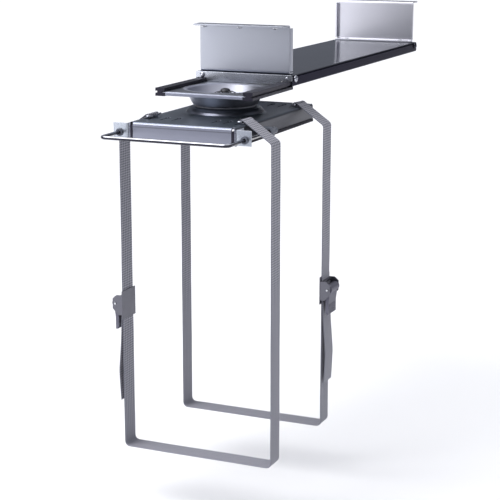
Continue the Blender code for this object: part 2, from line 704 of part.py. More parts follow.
washer = turned("pivot_washer", [(13.0 * MM, SEAT_TOP - TRAY_SHEET - GAP),
                                 (13.0 * MM, SEAT_TOP - TRAY_SHEET - 1.9 * MM),
                                 (5.3 * MM, SEAT_TOP - TRAY_SHEET - 1.9 * MM),
                                 (5.3 * MM, SEAT_TOP - TRAY_SHEET - GAP)], steps=24, closed=True)
place(washer, tray_body, (0, CARRIAGE_Y, 0), colour=CHROME, roughness=0.35, metallic=1.0)
nut = rod("pivot_lock_nut", 9.0 * MM, 7.0 * MM, hex_head=True)
place(nut, tray_body, (0, CARRIAGE_Y, SEAT_TOP - TRAY_SHEET - 2.2 * MM - 3.5 * MM), colour=CHROME,
      roughness=0.35, metallic=1.0)
cut(nut, tool(rod("nut_bore", 5.3 * MM, 0.02, segments=24), (0, CARRIAGE_Y, SEAT_TOP - 7.0 * MM)))

EAR_Y = TRAY_FRONT - 0.1 * MM
for side, label in ((-1, "left"), (1, "right")):
    ear_path = filleted([(side * 78.2 * MM, TRAY_FRONT + 22.0 * MM), (side * 78.2 * MM, EAR_Y),
                         (side * 99.0 * MM, EAR_Y)], 1.8 * MM, steps=4)
    ear = sheet(f"{label}_ear", ear_path, 20.0 * MM, 1.8 * MM, along="Z")
    place(ear, tray_body, (0, 0, TRAY_TOP - 12.0 * MM), colour=SATIN, roughness=0.35, metallic=0.9)
    cut(ear, tool(rod(f"{label}_bush_hole", 4.1 * MM, 0.02, axis="Y", segments=28),
                  (side * HANDLE_X, EAR_Y, HANDLE_Z)))
    cut(ear, tool(rod(f"{label}_ear_rivet_hole", 1.9 * MM, 0.01, axis="X", segments=16),
                  (side * 78.2 * MM, EAR_RIVET_Y, EAR_RIVET_Z)))
    rivet = turned(f"{label}_ear_rivet",
                   rivet_profile(3.2 * MM, 1.2 * MM, 1.6 * MM, 4.7 * MM, 2.8 * MM), steps=12)
    rivet.matrix_world = Matrix.Rotation(math.radians(90 * side), 4, "Y")
    place(rivet, tray_body, (side * 79.4 * MM, EAR_RIVET_Y, EAR_RIVET_Z), colour=CHROME,
          roughness=0.3, metallic=1.0)
    bush = turned(f"{label}_handle_bush", [
        (4.6 * MM, 3.4 * MM), (5.1 * MM, 2.9 * MM), (5.1 * MM, 1.2 * MM), (3.8 * MM, 1.2 * MM),
        (3.8 * MM, -1.2 * MM), (5.1 * MM, -1.2 * MM), (5.1 * MM, -2.6 * MM), (4.6 * MM, -3.2 * MM),
        (WIRE_BORE, -3.2 * MM), (WIRE_BORE, 3.4 * MM)], steps=20, closed=True)
    bush.matrix_world = Matrix.Rotation(math.radians(90), 4, "X")
    place(bush, tray_body, (side * HANDLE_X, EAR_Y, HANDLE_Z), colour=GREY, roughness=0.45)
    guide = box(f"{label}_handle_guide", (17.6 * MM, 10.0 * MM, 12.0 * MM))
    place(guide, tray_body, (side * (TRAY_WIDTH / 2 + GAP + 8.8 * MM), GUIDE_Y, HANDLE_Z),
          colour=GREY, roughness=0.45)
    bevel(guide, 0.8 * MM)
    stud = turned(f"{label}_guide_stud", [
        (0.0, -1.0 * MM), (2.2 * MM, -1.0 * MM), (2.2 * MM, -5.5 * MM), (3.4 * MM, -5.5 * MM),
        (2.6 * MM, -7.2 * MM), (0.0, -7.2 * MM)], steps=16)
    stud.matrix_world = Matrix.Rotation(math.radians(90 * side), 4, "Y")
    join(guide, tool(stud, (side * (TRAY_WIDTH / 2 + GAP + 3.0 * MM), GUIDE_Y, HANDLE_Z)))
    cut(guide, tool(rod(f"{label}_guide_bore", WIRE_BORE, 0.02, axis="Y", segments=20),
                    (side * HANDLE_X, GUIDE_Y, HANDLE_Z)))
    # Moulded plug in the gap between the front flange and the side flange
    plug_low = TAIL_Z[-1]
    plug_high = TRAY_TOP - TRAY_SHEET - 2.2 * MM
    plug = box(f"{label}_corner_plug", (CORNER_GAP - 2 * GAP, 8.0 * MM, plug_high - plug_low))
    place(plug, tray_body, (side * (TRAY_WIDTH / 2 - TRAY_SHEET - CORNER_GAP / 2), TRAY_FRONT + 4.4 * MM,
                            (plug_high + plug_low) / 2), colour=BLACK, roughness=0.6)
    bevel(plug, 0.5 * MM)
    # Rubber edging pushed on the side flange's lower edge
    inner = TRAY_WIDTH / 2 - TRAY_SHEET
    trim_outline = [
        (inner - 1.6 * MM, TRAY_FOOT - 1.6 * MM), (inner + 3.6 * MM, TRAY_FOOT - 1.6 * MM),
        (inner + 3.6 * MM, TRAY_FOOT + 2.3 * MM), (inner + 2.3 * MM, TRAY_FOOT + 2.3 * MM),
        (inner + 2.3 * MM, TRAY_FOOT - 0.3 * MM), (inner - 0.3 * MM, TRAY_FOOT - 0.3 * MM),
        (inner - 0.3 * MM, TRAY_FOOT + 2.3 * MM), (inner - 1.6 * MM, TRAY_FOOT + 2.3 * MM),
    ]
    outline = [(side * x, z) for x, z in trim_outline]
    if side < 0:
        outline.reverse()
    trim_front = TRAY_FRONT + 24.0 * MM
    trim_rear = TRAY_FRONT + TRAY_LENGTH - 3.0 * MM
    trim = slab(f"{label}_edge_trim", outline, trim_rear - trim_front, across="Y")
    place(trim, tray_body, (0, (trim_front + trim_rear) / 2, 0), colour=BLACK, roughness=0.7)


# ---------------------------------------------------------------- pull handle
bar_y = TRAY_FRONT - HANDLE_REACH
tail_y = GUIDE_Y + 14.0 * MM
handle_path = filleted([(-HANDLE_X, tail_y, HANDLE_Z), (-HANDLE_X, bar_y, HANDLE_Z),
                        (HANDLE_X, bar_y, HANDLE_Z), (HANDLE_X, tail_y, HANDLE_Z)],
                       HANDLE_CORNER, steps=7)
handle = wire("handle_bail", handle_path, WIRE_RADIUS)
place(handle, handle_body, (0, 0, 0), colour=CHROME, roughness=0.08, metallic=1.0)
for side, label in ((-1, "left"), (1, "right")):
    cap = turned(f"{label}_handle_cap", [
        (0.0, 17.0 * MM), (3.2 * MM, 17.0 * MM), (4.4 * MM, 15.8 * MM), (4.4 * MM, 5.4 * MM),
        (WIRE_BORE, 5.4 * MM), (WIRE_BORE, 14.3 * MM), (0.0, 14.3 * MM)], steps=20)
    cap.matrix_world = AXIS_TURN["Y"]
    place(cap, handle_body, (side * HANDLE_X, GUIDE_Y, HANDLE_Z), colour=GREY, roughness=0.45)


# ---------------------------------------------------------------- straps, hooks and buckles
def strap_path():
    """Centreline of a strap from the left hook round the case to the right hook."""
    loop = HOOK_WIRE + GAP + WEB / 2
    edge = (74.8 * MM, TRAY_TOP + 1.6 * MM)
    reach = Vector(edge) - Vector((HOOK_X, HOOK_Z))
    lean = math.atan2(reach[1], reach[0]) + math.acos(loop / reach.length)
    fold = [(HOOK_X + 3.0 * MM, HOOK_Z - loop)]
    fold += arc_points((HOOK_X, HOOK_Z), loop, -math.pi / 2, -TURN + lean, 12)
    sling = filleted([fold[-1], edge, (WEB_X, CASE_TOP + 1.7 * MM), (WEB_X, WEB_BOTTOM), (0, WEB_BOTTOM)],
                     [0, 5.0 * MM, 5.0 * MM, 7.0 * MM, 0], steps=5)
    right = [(p[0], p[1]) for p in fold] + [(p[0], p[1]) for p in sling[1:-1]]
    left = [(-x, z) for x, z in right]
    return left + right[::-1]


def build_strap(label, y, side):
    """Webbing loop, its two wire hooks, the cam buckle on one side and the loose tail."""
    strap = sheet(f"{label}_strap", strap_path(), WEB_WIDTH, WEB, along="Y")
    place(strap, tray_body, (0, y, 0), colour=WEBBING, roughness=0.8)
    for s, where in ((-1, "left"), (1, "right")):
        rod_end, shoulder = 17.2 * MM, 4.4 * MM
        half = [(HOOK_X, rod_end), (HOOK_X - shoulder, rod_end), (PRONG_X, 4.0 * MM)]
        corners = half + [(x, -d) for x, d in reversed(half)]
        loop = [(s * x, d, 0.0) for x, d in corners]
        hook = wire(f"{label}_hook_{where}", filleted(loop, 1.9 * MM, steps=2, closed=True), HOOK_WIRE,
                    closed=True, resolution=1)
        place(hook, tray_body, (0, y, HOOK_Z), colour=CHROME, roughness=0.25, metallic=1.0)
        prong = tool(rod(f"{label}_prong_{where}", HOOK_WIRE * 0.98, 8.6 * MM, segments=12),
                     (s * PRONG_X, y, HOOK_Z - 4.3 * MM))
        join(hook, prong)
    # Cam buckle
    frame = box(f"{label}_buckle_frame", (1.0 * MM, 38.0 * MM, 40.0 * MM))
    place(frame, tray_body, (side * 109.9 * MM, y, BUCKLE_Z), colour=(0.17, 0.17, 0.2), roughness=0.4,
          metallic=0.8)
    cheek = filleted([(109.6 * MM, 14.0 * MM), (109.6 * MM, -14.0 * MM), (117.0 * MM, -14.0 * MM),
                      (125.0 * MM, -5.0 * MM), (125.0 * MM, 9.0 * MM), (119.0 * MM, 14.0 * MM)],
                     1.5 * MM, steps=2, closed=True)
    cheek_outline = [(side * p[0], p[1]) for p in cheek]
    for d in (-1, 1):
        piece = slab(f"{label}_cheek_{d + 1}", cheek_outline, 2.0 * MM, across="Y")
        join(frame, tool(piece, (0, y + d * 17.3 * MM, BUCKLE_Z)))
    for name, x, z in (("top", 113.2 * MM, 12.0 * MM), ("low", 115.0 * MM, -12.0 * MM)):
        bar = box(f"{label}_{name}_crossbar", (1.7 * MM, 35.0 * MM, 3.6 * MM))
        join(frame, tool(bar, (side * x, y, BUCKLE_Z + z)))
    pin_z = BUCKLE_Z + 2.0 * MM
    cut(frame, tool(rod(f"{label}_pin_bore", 1.8 * MM, 0.05, axis="Y", segments=16),
                    (side * LEVER_X, y, pin_z)))
    pin = rod(f"{label}_buckle_pin", 1.5 * MM, 38.4 * MM, axis="Y", segments=16)
    place(pin, tray_body, (side * LEVER_X, y, pin_z), colour=CHROME, roughness=0.3, metallic=1.0)
    pivot = body(f"{label}_lever_body", (side * LEVER_X, y, pin_z), tray_body)
    # Lever: a round cam on the pin and a flat arm lying down over the webbing
    cam = 6.4 * MM
    arm = [(-3.2 * MM, -5.5 * MM), (-3.2 * MM, -33.0 * MM), (-1.6 * MM, -37.0 * MM), (1.2 * MM, -37.0 * MM),
           (1.2 * MM, -20.0 * MM), (3.0 * MM, -5.6 * MM)]
    start = math.atan2(-5.6, 3.0)
    end = math.atan2(-5.5, -3.2) + TURN
    outline = arc_points((0, 0), cam, start, end, 18) + arm[1:5]
    lever = slab(f"{label}_buckle_lever", [(side * p[0], p[1]) for p in outline], 30.8 * MM, across="Y")
    place(lever, pivot, (side * LEVER_X, y, pin_z), colour=(0.13, 0.13, 0.155), roughness=0.45)
    cut(lever, tool(rod(f"{label}_lever_bore", 1.8 * MM, 0.05, axis="Y", segments=16),
                    (side * LEVER_X, y, pin_z)))
    tail = filleted([(112.9 * MM, 9.0 * MM), (112.9 * MM, -16.0 * MM), (114.4 * MM, -50.0 * MM),
                     (118.0 * MM, -95.0 * MM), (116.0 * MM, -138.0 * MM)], 60.0 * MM, steps=5)
    loose = sheet(f"{label}_strap_tail", [(side * p[0], p[1]) for p in tail], WEB_WIDTH, WEB, along="Y")
    place(loose, tray_body, (0, y, BUCKLE_Z), colour=WEBBING, roughness=0.8)


build_strap("front", STRAP_Y[0], -1)
build_strap("rear", STRAP_Y[1], 1)
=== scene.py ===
"""Looks of the under-desk computer holder, built around its CAD parts.

Frame: metres, +X right, +Y rear (into the track), +Z up.
Origin: middle of the top of the front hanger's flange.
"""
import math
import bmesh
import bpy
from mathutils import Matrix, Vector


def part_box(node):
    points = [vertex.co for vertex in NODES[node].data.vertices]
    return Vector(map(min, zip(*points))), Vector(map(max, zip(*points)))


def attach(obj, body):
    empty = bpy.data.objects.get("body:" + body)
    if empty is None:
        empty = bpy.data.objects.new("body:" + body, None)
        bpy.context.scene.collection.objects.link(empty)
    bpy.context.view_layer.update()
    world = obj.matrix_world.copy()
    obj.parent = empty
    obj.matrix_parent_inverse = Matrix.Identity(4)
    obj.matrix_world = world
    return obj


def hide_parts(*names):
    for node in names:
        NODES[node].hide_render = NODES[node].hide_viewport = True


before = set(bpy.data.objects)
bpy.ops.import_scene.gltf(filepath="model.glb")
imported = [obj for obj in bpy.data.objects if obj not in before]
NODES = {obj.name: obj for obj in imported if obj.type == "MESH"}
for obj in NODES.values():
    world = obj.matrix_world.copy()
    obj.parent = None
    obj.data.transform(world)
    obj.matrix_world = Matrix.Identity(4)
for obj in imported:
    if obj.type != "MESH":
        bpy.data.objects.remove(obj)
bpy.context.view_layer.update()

MM = 0.001
SIDES = ("left", "right")
ENDS = ("front", "rear")
SIDE_SIGNS = ((-1, "left"), (1, "right"))

# Measures repeated from the CAD source
TRACK_TOP = -0.068
CARRIAGE_Y = -0.054
TRAY_FRONT = -0.190
TRAY_TOP = TRACK_TOP - 0.047
CASE_TOP = TRACK_TOP - 0.0726
CASE_HEIGHT = 0.440
WEB_WIDTH = 0.030
WEB = 0.0014
WEB_X = 0.1112
WEB_BOTTOM = CASE_TOP - CASE_HEIGHT - 0.0011
HOOK_X = 0.069
PRONG_X = 0.0615
HOOK_Z = TRAY_TOP + 0.0032
HOOK_WIRE = 0.0012
HANDLE_X = 0.090
HANDLE_WIRE = 0.0025
HANDLE_CORNER = 0.007
LEVER_X = 0.1208
STRAP_Y = {"front": TRAY_FRONT + 0.051, "rear": TRAY_FRONT + 0.236}
STRAP_SIDE = {"front": -1, "rear": 1}
BUCKLE_Z = CASE_TOP - 0.236

# Bowl of the carriage plate, as distances from its middle: its rim, and where the flat's front lip starts
BOWL_RIM = (0.0585, 0.0575)
LIP_START = (0.060, 0.064)

# Webbing: weave pitches, raised ribs, rolled edges and the step of its points
FLOAT_LENGTH = 0.0034
FLOAT_WIDTH = 0.0050
PICK_LENGTH = 0.00085
PICK_WIDTH = 0.0017
RIB_PITCH = 0.0015
RIBS = 20
RIB_HEIGHT = 0.10 * MM
ROLLED_EDGE = WEB * 0.42
STRIP_STEP = 0.0025

# Sewing: rows as distances from a strap's ends and from a tail's free end
STITCHES_PER_ROW = 9
SEAM_ROWS = [0.0156, 0.0172]
HEM_ROWS = [0.0035, 0.0085]

# Where a strap bends over the tray's edge, and a tail's hanging line from the buckle's middle, as (x, z)
TRAY_EDGE_X = 0.0748
TAIL_LINE = [(0.1129, 0.009), (0.1129, -0.016), (0.1144, -0.050), (0.118, -0.095), (0.116, -0.138)]

# Hook wire: half length, depth of its straight ends, half width beside the prong, corner radius,
# and the prong's bend radius and depth
HOOK_HALF = 0.0172
HOOK_END_DEPTH = 0.0044
PRONG_HALF = 0.0040
HOOK_CORNER = 0.0019
PRONG_BEND = 0.0012
PRONG_DEPTH = 0.0085

# Fasteners: head radius, head height, shank radius and, for rivets, radius of the formed tail;
# then the pitch of the screws' threads
SIDE_SCREW = {"head": 0.0049, "height": 0.0030, "shank": 0.0016, "recess": True}
HANGER_SCREW = {"head": 0.0046, "height": 0.0024, "shank": 0.0022, "recess": True}
HANGER_RIVET = {"head": 0.0036, "height": 0.0013, "shank": 0.0020, "tail": 0.0032}
EAR_RIVET = {"head": 0.0032, "height": 0.0012, "shank": 0.0016, "tail": 0.0028}
LOCK_BOLT = {"head": 0.0037, "height": 0.00185, "shank": 0.00148, "tail": 0.0022}
BAR_RIVET = {"head": 0.0023, "height": 0.00115, "shank": 0.00092, "tail": 0.00138}
SCREW_PITCH = 0.0009

# Spring washer: count of fingers, outer and inner radius of its ring, and its sheet
SPIDER_FINGERS = 8
SPIDER_ROOT = 0.0074
SPIDER_BORE = 0.0053
SPIDER_SHEET = 0.0009

# Buckle lever: its pin's height over the buckle's middle; then its finger ribs, with the first one's
# distance below the pin, their spacing, half length, count and radius
LEVER_PIN_UP = 0.002
FIRST_LEVER_RIB = 0.0235
LEVER_RIB_STEP = 0.0027
LEVER_RIB_REACH = 0.0125
LEVER_RIBS = 5
LEVER_RIB_WIRE = 0.0007

# Colour sockets of a Mix node: the two inputs and the result
MIX_A, MIX_B, MIX_RESULT = 6, 7, 2


# ---------------------------------------------------------------- node helpers
class Graph:
    """Short spellings for building a node tree."""

    def __init__(self, name):
        self.mat = bpy.data.materials.new(name)
        self.mat.use_nodes = True
        self.tree = self.mat.node_tree
        self.shader = self.tree.nodes["Principled BSDF"]

    def add(self, kind, inputs=(), **props):
        """A node with its properties set; inputs are (socket, value or output socket) pairs."""
        node = self.tree.nodes.new("ShaderNode" + kind)
        for key, value in props.items():
            setattr(node, key, value)
        for socket, value in inputs:
            self.feed(node.inputs[socket], value)
        return node

    def feed(self, socket, value):
        if isinstance(value, bpy.types.NodeSocket):
            self.tree.links.new(value, socket)
        else:
            socket.default_value = value

    def math(self, operation, a, b=0.0, c=0.0, clamp=False):
        node = self.add("Math", [(0, a), (1, b), (2, c)], operation=operation, use_clamp=clamp)
        return node.outputs[0]

    def position(self, stretch=(1, 1, 1), turn=(0, 0, 0)):
        """Object coordinates, in metres, stretched and turned."""
        where = self.add("TexCoord").outputs["Object"]
        mapping = self.add("Mapping", [("Vector", where), ("Scale", stretch), ("Rotation", turn)])
        return mapping.outputs["Vector"]

    def noise(self, vector, scale, detail=3.0, roughness=0.55):
        node = self.add("TexNoise", [("Vector", vector), ("Scale", scale), ("Detail", detail),
                                     ("Roughness", roughness)])
        return node.outputs["Fac"]

    def span(self, value, low, high, out_low=0.0, out_high=1.0):
        node = self.add("MapRange", [("Value", value), ("From Min", low), ("From Max", high),
                                     ("To Min", out_low), ("To Max", out_high)])
        return node.outputs["Result"]

    def mix(self, factor, a, b, blend="MIX"):
        node = self.add("Mix", data_type="RGBA", blend_type=blend)
        self.feed(node.inputs["Factor"], factor)
        for socket, value in ((node.inputs[MIX_A], a), (node.inputs[MIX_B], b)):
            if isinstance(value, tuple) and len(value) == 3:
                value = (*value, 1.0)
            self.feed(socket, value)
        return node.outputs[MIX_RESULT]

    def edges(self, radius=0.0006):
        """A mask, 1 on sharp outer edges and 0 on flat faces, and the rounded normal it comes from."""
        rounded = self.add("Bevel", [("Radius", radius)], samples=6)
        flat = self.add("NewGeometry").outputs["Normal"]
        dot = self.add("VectorMath", [(0, rounded.outputs[0]), (1, flat)], operation="DOT_PRODUCT")
        return self.span(dot.outputs["Value"], 0.995, 0.86), rounded.outputs[0]

    def bump(self, height, distance, strength=1.0, normal=None):
        inputs = [("Height", height), ("Distance", distance), ("Strength", strength)]
        if normal is not None:
            inputs.append(("Normal", normal))
        return self.add("Bump", inputs).outputs["Normal"]

    def finish(self, **sockets):
        for name, value in sockets.items():
            if isinstance(value, tuple) and len(value) == 3:
                value = (*value, 1.0)
            self.feed(self.shader.inputs[name.replace("_", " ")], value)
        return self.mat


def shade(colour, factor):
    """A colour made lighter or darker."""
    return tuple(min(1.0, c * factor) for c in colour)


# ---------------------------------------------------------------- materials
def sheet_metal(name, colour, roughness, metallic=0.9, along="X", grain=0.10, wear=0.5, mottling=0.12,
                relief=0.3, edge=None, front=None, side=None, side_tint=1.0, drift=0.0, crease=None):
    """Rolled, satin-finished sheet: fine lengthwise grain, faint mottling, bright edges of wear and painted
    highlight.

    front and side are tones painted on the folded-down faces, where they aren't that of the top: painted
    light where lighter than the top, painted shade where darker. side_tint dulls the grazing reflection on
    the sides, as more painted shade. drift paints light on the left end and shade on the right one, and
    crease is the height of a fine dark line painted along the front face as the shade of a pressed line.
    """
    g = Graph(name)
    fine = {"X": (60, 1500, 1500), "Y": (1500, 60, 1500), "Z": (1500, 1500, 60)}[along]
    lines = g.noise(g.position(fine), 1.0, 4.0, 0.6)
    cloud = g.noise(g.position(), 14.0, 3.0)
    speck = g.noise(g.position(), 1400.0, 2.0)
    worn_and_highlit, rounded = g.edges(0.0007)
    ragged_wear_and_highlight = g.math("MULTIPLY", worn_and_highlit, g.span(g.noise(g.position(), 260.0), 0.35, 0.62, 0.35, 1.0))
    tone = colour
    # Painted light and shade: the folded-down front and side faces get tones of their own, and the sides a
    # duller reflection.
    if front or side:
        facing = g.add("SeparateXYZ", [(0, g.add("TexCoord").outputs["Normal"])])
        for axis, other in ((1, front), (0, side)):
            turned = g.span(g.math("ABSOLUTE", facing.outputs[axis]), 0.45, 0.85)
            tone = g.mix(turned, tone, other or colour)
            # Painted shade of a pressed line: a fine dark line along the front face at the crease height.
            if axis == 1 and crease:
                level = g.add("SeparateXYZ", [(0, g.position())]).outputs[2]
                off = g.math("ABSOLUTE", g.math("SUBTRACT", level, crease))
                line = g.math("MULTIPLY", g.span(off, 0.0003, 0.0011, 1.0, 0.0), turned)
                tone = g.mix(g.math("MULTIPLY", line, 0.55), tone, shade(other or colour, 0.3))
        if side_tint < 1.0:
            g.finish(Specular_Tint=g.mix(turned, (1, 1, 1), (side_tint,) * 3))
    patches = g.math("MULTIPLY", g.span(cloud, 0.3, 0.7), mottling * 1.6)
    darker = g.math("SUBTRACT", 1.0 + mottling * 0.6, patches)
    darker = g.math("SUBTRACT", darker, g.span(lines, 0.35, 0.65, 0.0, grain * 0.6))
    # Painted light and shade: the left end is made lighter and the right end darker.
    if drift:
        across = g.add("SeparateXYZ", [(0, g.position())]).outputs[0]
        darker = g.math("MULTIPLY", darker, g.span(across, -0.075, 0.075, 1.0 + drift, 1.0 - drift))
    tone = g.add("VectorMath", operation="SCALE", inputs=[(0, tone), ("Scale", darker)]).outputs[0]
    # Bright edges: partly wear, partly painted highlight; wear sets their strength and edge their colour.
    tone = g.mix(g.math("MULTIPLY", ragged_wear_and_highlight, wear, clamp=True), tone, edge or shade(colour, 1.45))
    swing = min(1.0, relief / 0.3)
    rough = g.math("ADD", g.span(lines, 0.3, 0.7, roughness - 0.05 * swing, roughness + 0.07 * swing),
                   g.span(cloud, 0.3, 0.7, -0.03 * swing, 0.03 * swing))
    height = g.math("ADD", g.math("MULTIPLY", lines, 0.7), g.math("MULTIPLY", speck, 0.3))
    return g.finish(Base_Color=tone, Metallic=metallic, Roughness=rough,
                    Normal=g.bump(height, 0.00003, relief, rounded))


def chrome(name, colour, roughness, pits=0.05, under=None):
    """Bright plating: hairline scratches, a faint orange peel and a few dull spots.

    under is painted shade and reflection: a dark tone on its sides and underside, where it isn't that of
    the top.
    """
    g = Graph(name)
    peel = g.noise(g.position(), 240.0, 2.0)
    hair = g.noise(g.position((90, 2600, 90), (0.4, 0.2, 0.7)), 1.0, 2.0, 0.7)
    spots = g.span(g.noise(g.position(), 420.0, 4.0), 0.62, 0.74)
    rounded = g.edges(0.0004)[1]
    scratches = g.span(hair, 0.45, 0.8, roughness, roughness + 0.10)
    rough = g.math("ADD", scratches, g.math("MULTIPLY", spots, pits))
    tone = g.mix(g.math("MULTIPLY", spots, 0.35), colour, shade(colour, 0.6))
    # Painted shade and reflection: the top keeps the bright tone, and the sides and underside turn dark.
    if under:
        upward = g.add("SeparateXYZ", [(0, g.add("TexCoord").outputs["Normal"])]).outputs[2]
        tone = g.mix(g.span(upward, 0.30, 0.62), under, tone)
    return g.finish(Base_Color=tone, Metallic=1.0, Roughness=rough,
                    Normal=g.bump(peel, 0.00002, 0.25, rounded))


def moulded(name, colour, roughness=0.48, grit=1100.0):
    """Moulded plastic or rubber: fine spark-eroded texture, flow marks and paler edges, partly scuffed and
    partly painted highlight.
    """
    g = Graph(name)
    cell = g.add("TexVoronoi", [("Vector", g.position()), ("Scale", grit)]).outputs["Distance"]
    flow = g.noise(g.position((1, 0.25, 1)), 55.0, 4.0)
    worn_and_highlit, rounded = g.edges(0.0004)
    tone = g.mix(g.span(flow, 0.3, 0.7), shade(colour, 0.75), shade(colour, 1.35))
    # Paler edges: partly wear, partly painted highlight.
    rubbed_and_highlit = tuple(c * 1.4 + 0.02 for c in colour)
    tone = g.mix(g.math("MULTIPLY", worn_and_highlit, 0.35, clamp=True), tone, rubbed_and_highlit)
    return g.finish(Base_Color=tone, Roughness=g.span(flow, 0.3, 0.7, roughness - 0.06, roughness + 0.08),
                    Specular_IOR_Level=0.45, Specular_Tint=(0.66, 0.62, 0.88),
                    Normal=g.bump(cell, 0.00008, 0.5, rounded))


def dish_steel():
    """Pressed carriage plate: straight grain on its flat, fine turned rings in its bowl."""
    g = Graph("dish_steel")
    to_middle = (0.0, -CARRIAGE_Y, 0.0)
    centre = g.add("VectorMath", [(0, g.position()), (1, to_middle)], operation="ADD").outputs[0]
    parts = g.add("SeparateXYZ", [(0, centre)])
    flat = g.add("CombineXYZ", [(0, parts.outputs[0]), (1, parts.outputs[1])]).outputs[0]
    radius = g.add("VectorMath", [(0, flat)], operation="LENGTH").outputs["Value"]
    spread = g.math("MULTIPLY", radius, 900.0)
    ring_at = g.add("CombineXYZ", [(0, spread), (1, parts.outputs[2])]).outputs[0]
    rings = g.noise(ring_at, 1.0, 3.0, 0.7)
    straight = g.noise(g.position((16, 800, 800)), 1.0, 4.0, 0.6)
    inside = g.span(radius, *BOWL_RIM)
    lines = g.add("Mix", [(0, inside), (2, straight), (3, rings)]).outputs[0]
    cloud = g.noise(g.position(), 20.0)
    worn_and_highlit, rounded = g.edges(0.0007)
    base = g.mix(inside, (0.20, 0.215, 0.25), (0.46, 0.47, 0.54))
    # Painted light and shade: the plate is made lighter towards the left and darker towards the right.
    base = g.add("VectorMath", operation="SCALE", inputs=[
        (0, base), ("Scale", g.span(parts.outputs[0], -0.030, 0.045, 1.12, 0.24))]).outputs[0]
    # Painted shade: faces beyond the bowl that turn front and back, the flat's lip, get a darker tone.
    facing = g.add("SeparateXYZ", [(0, g.add("TexCoord").outputs["Normal"])])
    lip = g.math("MULTIPLY", g.span(g.math("ABSOLUTE", facing.outputs[1]), 0.5, 0.9),
                 g.span(radius, *LIP_START))
    base = g.mix(lip, base, (0.22, 0.23, 0.29))
    wear = g.math("SUBTRACT", g.span(lines, 0.3, 0.7, 0.90, 1.10), g.span(cloud, 0.4, 0.7, 0.0, 0.08))
    tone = g.add("VectorMath", operation="SCALE", inputs=[(0, base), ("Scale", wear)]).outputs[0]
    # Bright edges: partly wear, partly painted highlight.
    tone = g.mix(g.math("MULTIPLY", worn_and_highlit, 0.35, clamp=True), tone, (0.80, 0.81, 0.86))
    rough = g.math("ADD", g.span(lines, 0.3, 0.7, 0.30, 0.40), g.math("MULTIPLY", inside, 0.08))
    return g.finish(Base_Color=tone, Metallic=0.95, Roughness=rough,
                    Normal=g.bump(lines, 0.00005, 0.4, rounded))


def webbing():
    """Woven nylon: diagonal float rows over lengthwise ribs, from the strip's own metre coordinates."""
    g = Graph("strap_webbing")
    at = g.add("Attribute", attribute_name="strip").outputs["Vector"]
    part = g.add("SeparateXYZ", [(0, at)])
    along, across = part.outputs[0], part.outputs[1]
    wobble = g.math("MULTIPLY", g.math("SUBTRACT", g.noise(at, 160.0, 2.0), 0.5), 0.0005)
    along = g.math("ADD", along, wobble)
    turn = 2 * math.pi
    length_way = g.math("COSINE", g.math("MULTIPLY", along, turn / FLOAT_LENGTH))
    cross_way = g.math("COSINE", g.math("MULTIPLY", across, turn / FLOAT_WIDTH))
    floats = g.math("MULTIPLY_ADD", g.math("SUBTRACT", length_way, cross_way), 0.32, 0.5, clamp=True)
    counter = g.math("SUBTRACT", g.math("MULTIPLY", along, turn / PICK_LENGTH),
                     g.math("MULTIPLY", across, turn / PICK_WIDTH))
    picks = g.math("MULTIPLY_ADD", g.math("SINE", counter), 0.5, 0.5)
    ribs = g.math("MULTIPLY_ADD", g.math("SINE", g.math("MULTIPLY", across, turn / RIB_PITCH)), 0.5, 0.5)
    fuzz = g.noise(at, 2600.0, 3.0, 0.7)
    stain = g.noise(at, 30.0, 3.0)
    pattern = g.math("MULTIPLY_ADD", floats, 0.62, g.math("MULTIPLY", picks, 0.25), clamp=True)
    pattern = g.math("MULTIPLY_ADD", g.math("SUBTRACT", fuzz, 0.5), 0.35, pattern, clamp=True)
    tone = g.mix(g.span(pattern, 0.18, 0.72), (0.064, 0.068, 0.092), (0.435, 0.43, 0.485))
    tone = g.mix(g.math("MULTIPLY", ribs, 0.16), tone, (0.13, 0.135, 0.18))
    edge = g.span(g.math("ABSOLUTE", across), WEB_WIDTH / 2 - 0.0016, WEB_WIDTH / 2 - 0.0010)
    tone = g.mix(g.math("MULTIPLY", edge, 0.45), tone, (0.17, 0.175, 0.22))
    tone = g.mix(g.span(stain, 0.45, 0.75, 0.0, 0.14), tone, (0.25, 0.24, 0.26))
    height = g.math("ADD", g.math("MULTIPLY", pattern, 0.7), g.math("MULTIPLY", fuzz, 0.3))
    return g.finish(Base_Color=tone, Roughness=g.span(fuzz, 0.2, 0.8, 0.62, 0.85),
                    Normal=g.bump(height, 0.00022, 0.8), Sheen_Weight=0.25, Sheen_Roughness=0.45)


def thread():
    """Twisted sewing thread."""
    g = Graph("seam_thread")
    twist = g.noise(g.position((1, 1, 3), (0.6, 0.3, 0.8)), 2200.0, 2.0)
    tone = g.mix(twist, (0.46, 0.46, 0.54), (0.84, 0.84, 0.90))
    return g.finish(Base_Color=tone, Roughness=g.span(twist, 0.3, 0.7, 0.5, 0.75),
                    Normal=g.bump(twist, 0.0001, 0.6), Sheen_Weight=0.2)


def blackened(name, colour):
    """Oil-blackened spring steel, bright along its edges: partly scuffed, partly painted highlight."""
    g = Graph(name)
    bloom = g.noise(g.position(), 320.0, 4.0)
    scale = g.noise(g.position(), 1500.0, 2.0)
    worn_and_highlit, rounded = g.edges(0.0004)
    tone = g.mix(g.span(bloom, 0.35, 0.7), colour, shade(colour, 2.4))
    # Bright edges: partly wear, partly painted highlight.
    rubbed_and_highlit = g.math("MULTIPLY", worn_and_highlit, g.span(bloom, 0.3, 0.6, 0.05, 0.6), clamp=True)
    tone = g.mix(rubbed_and_highlit, tone, (0.42, 0.42, 0.44))
    return g.finish(Base_Color=tone, Metallic=0.7, Roughness=g.span(bloom, 0.3, 0.7, 0.34, 0.52),
                    Normal=g.bump(scale, 0.00003, 0.4, rounded))


def put_on(material, *names):
    """Gives CAD nodes a material on their own slots."""
    for name in names:
        obj = NODES[name]
        if not obj.material_slots:
            obj.data.materials.append(material)
        for slot in obj.material_slots:
            slot.link = "OBJECT"
            slot.material = material
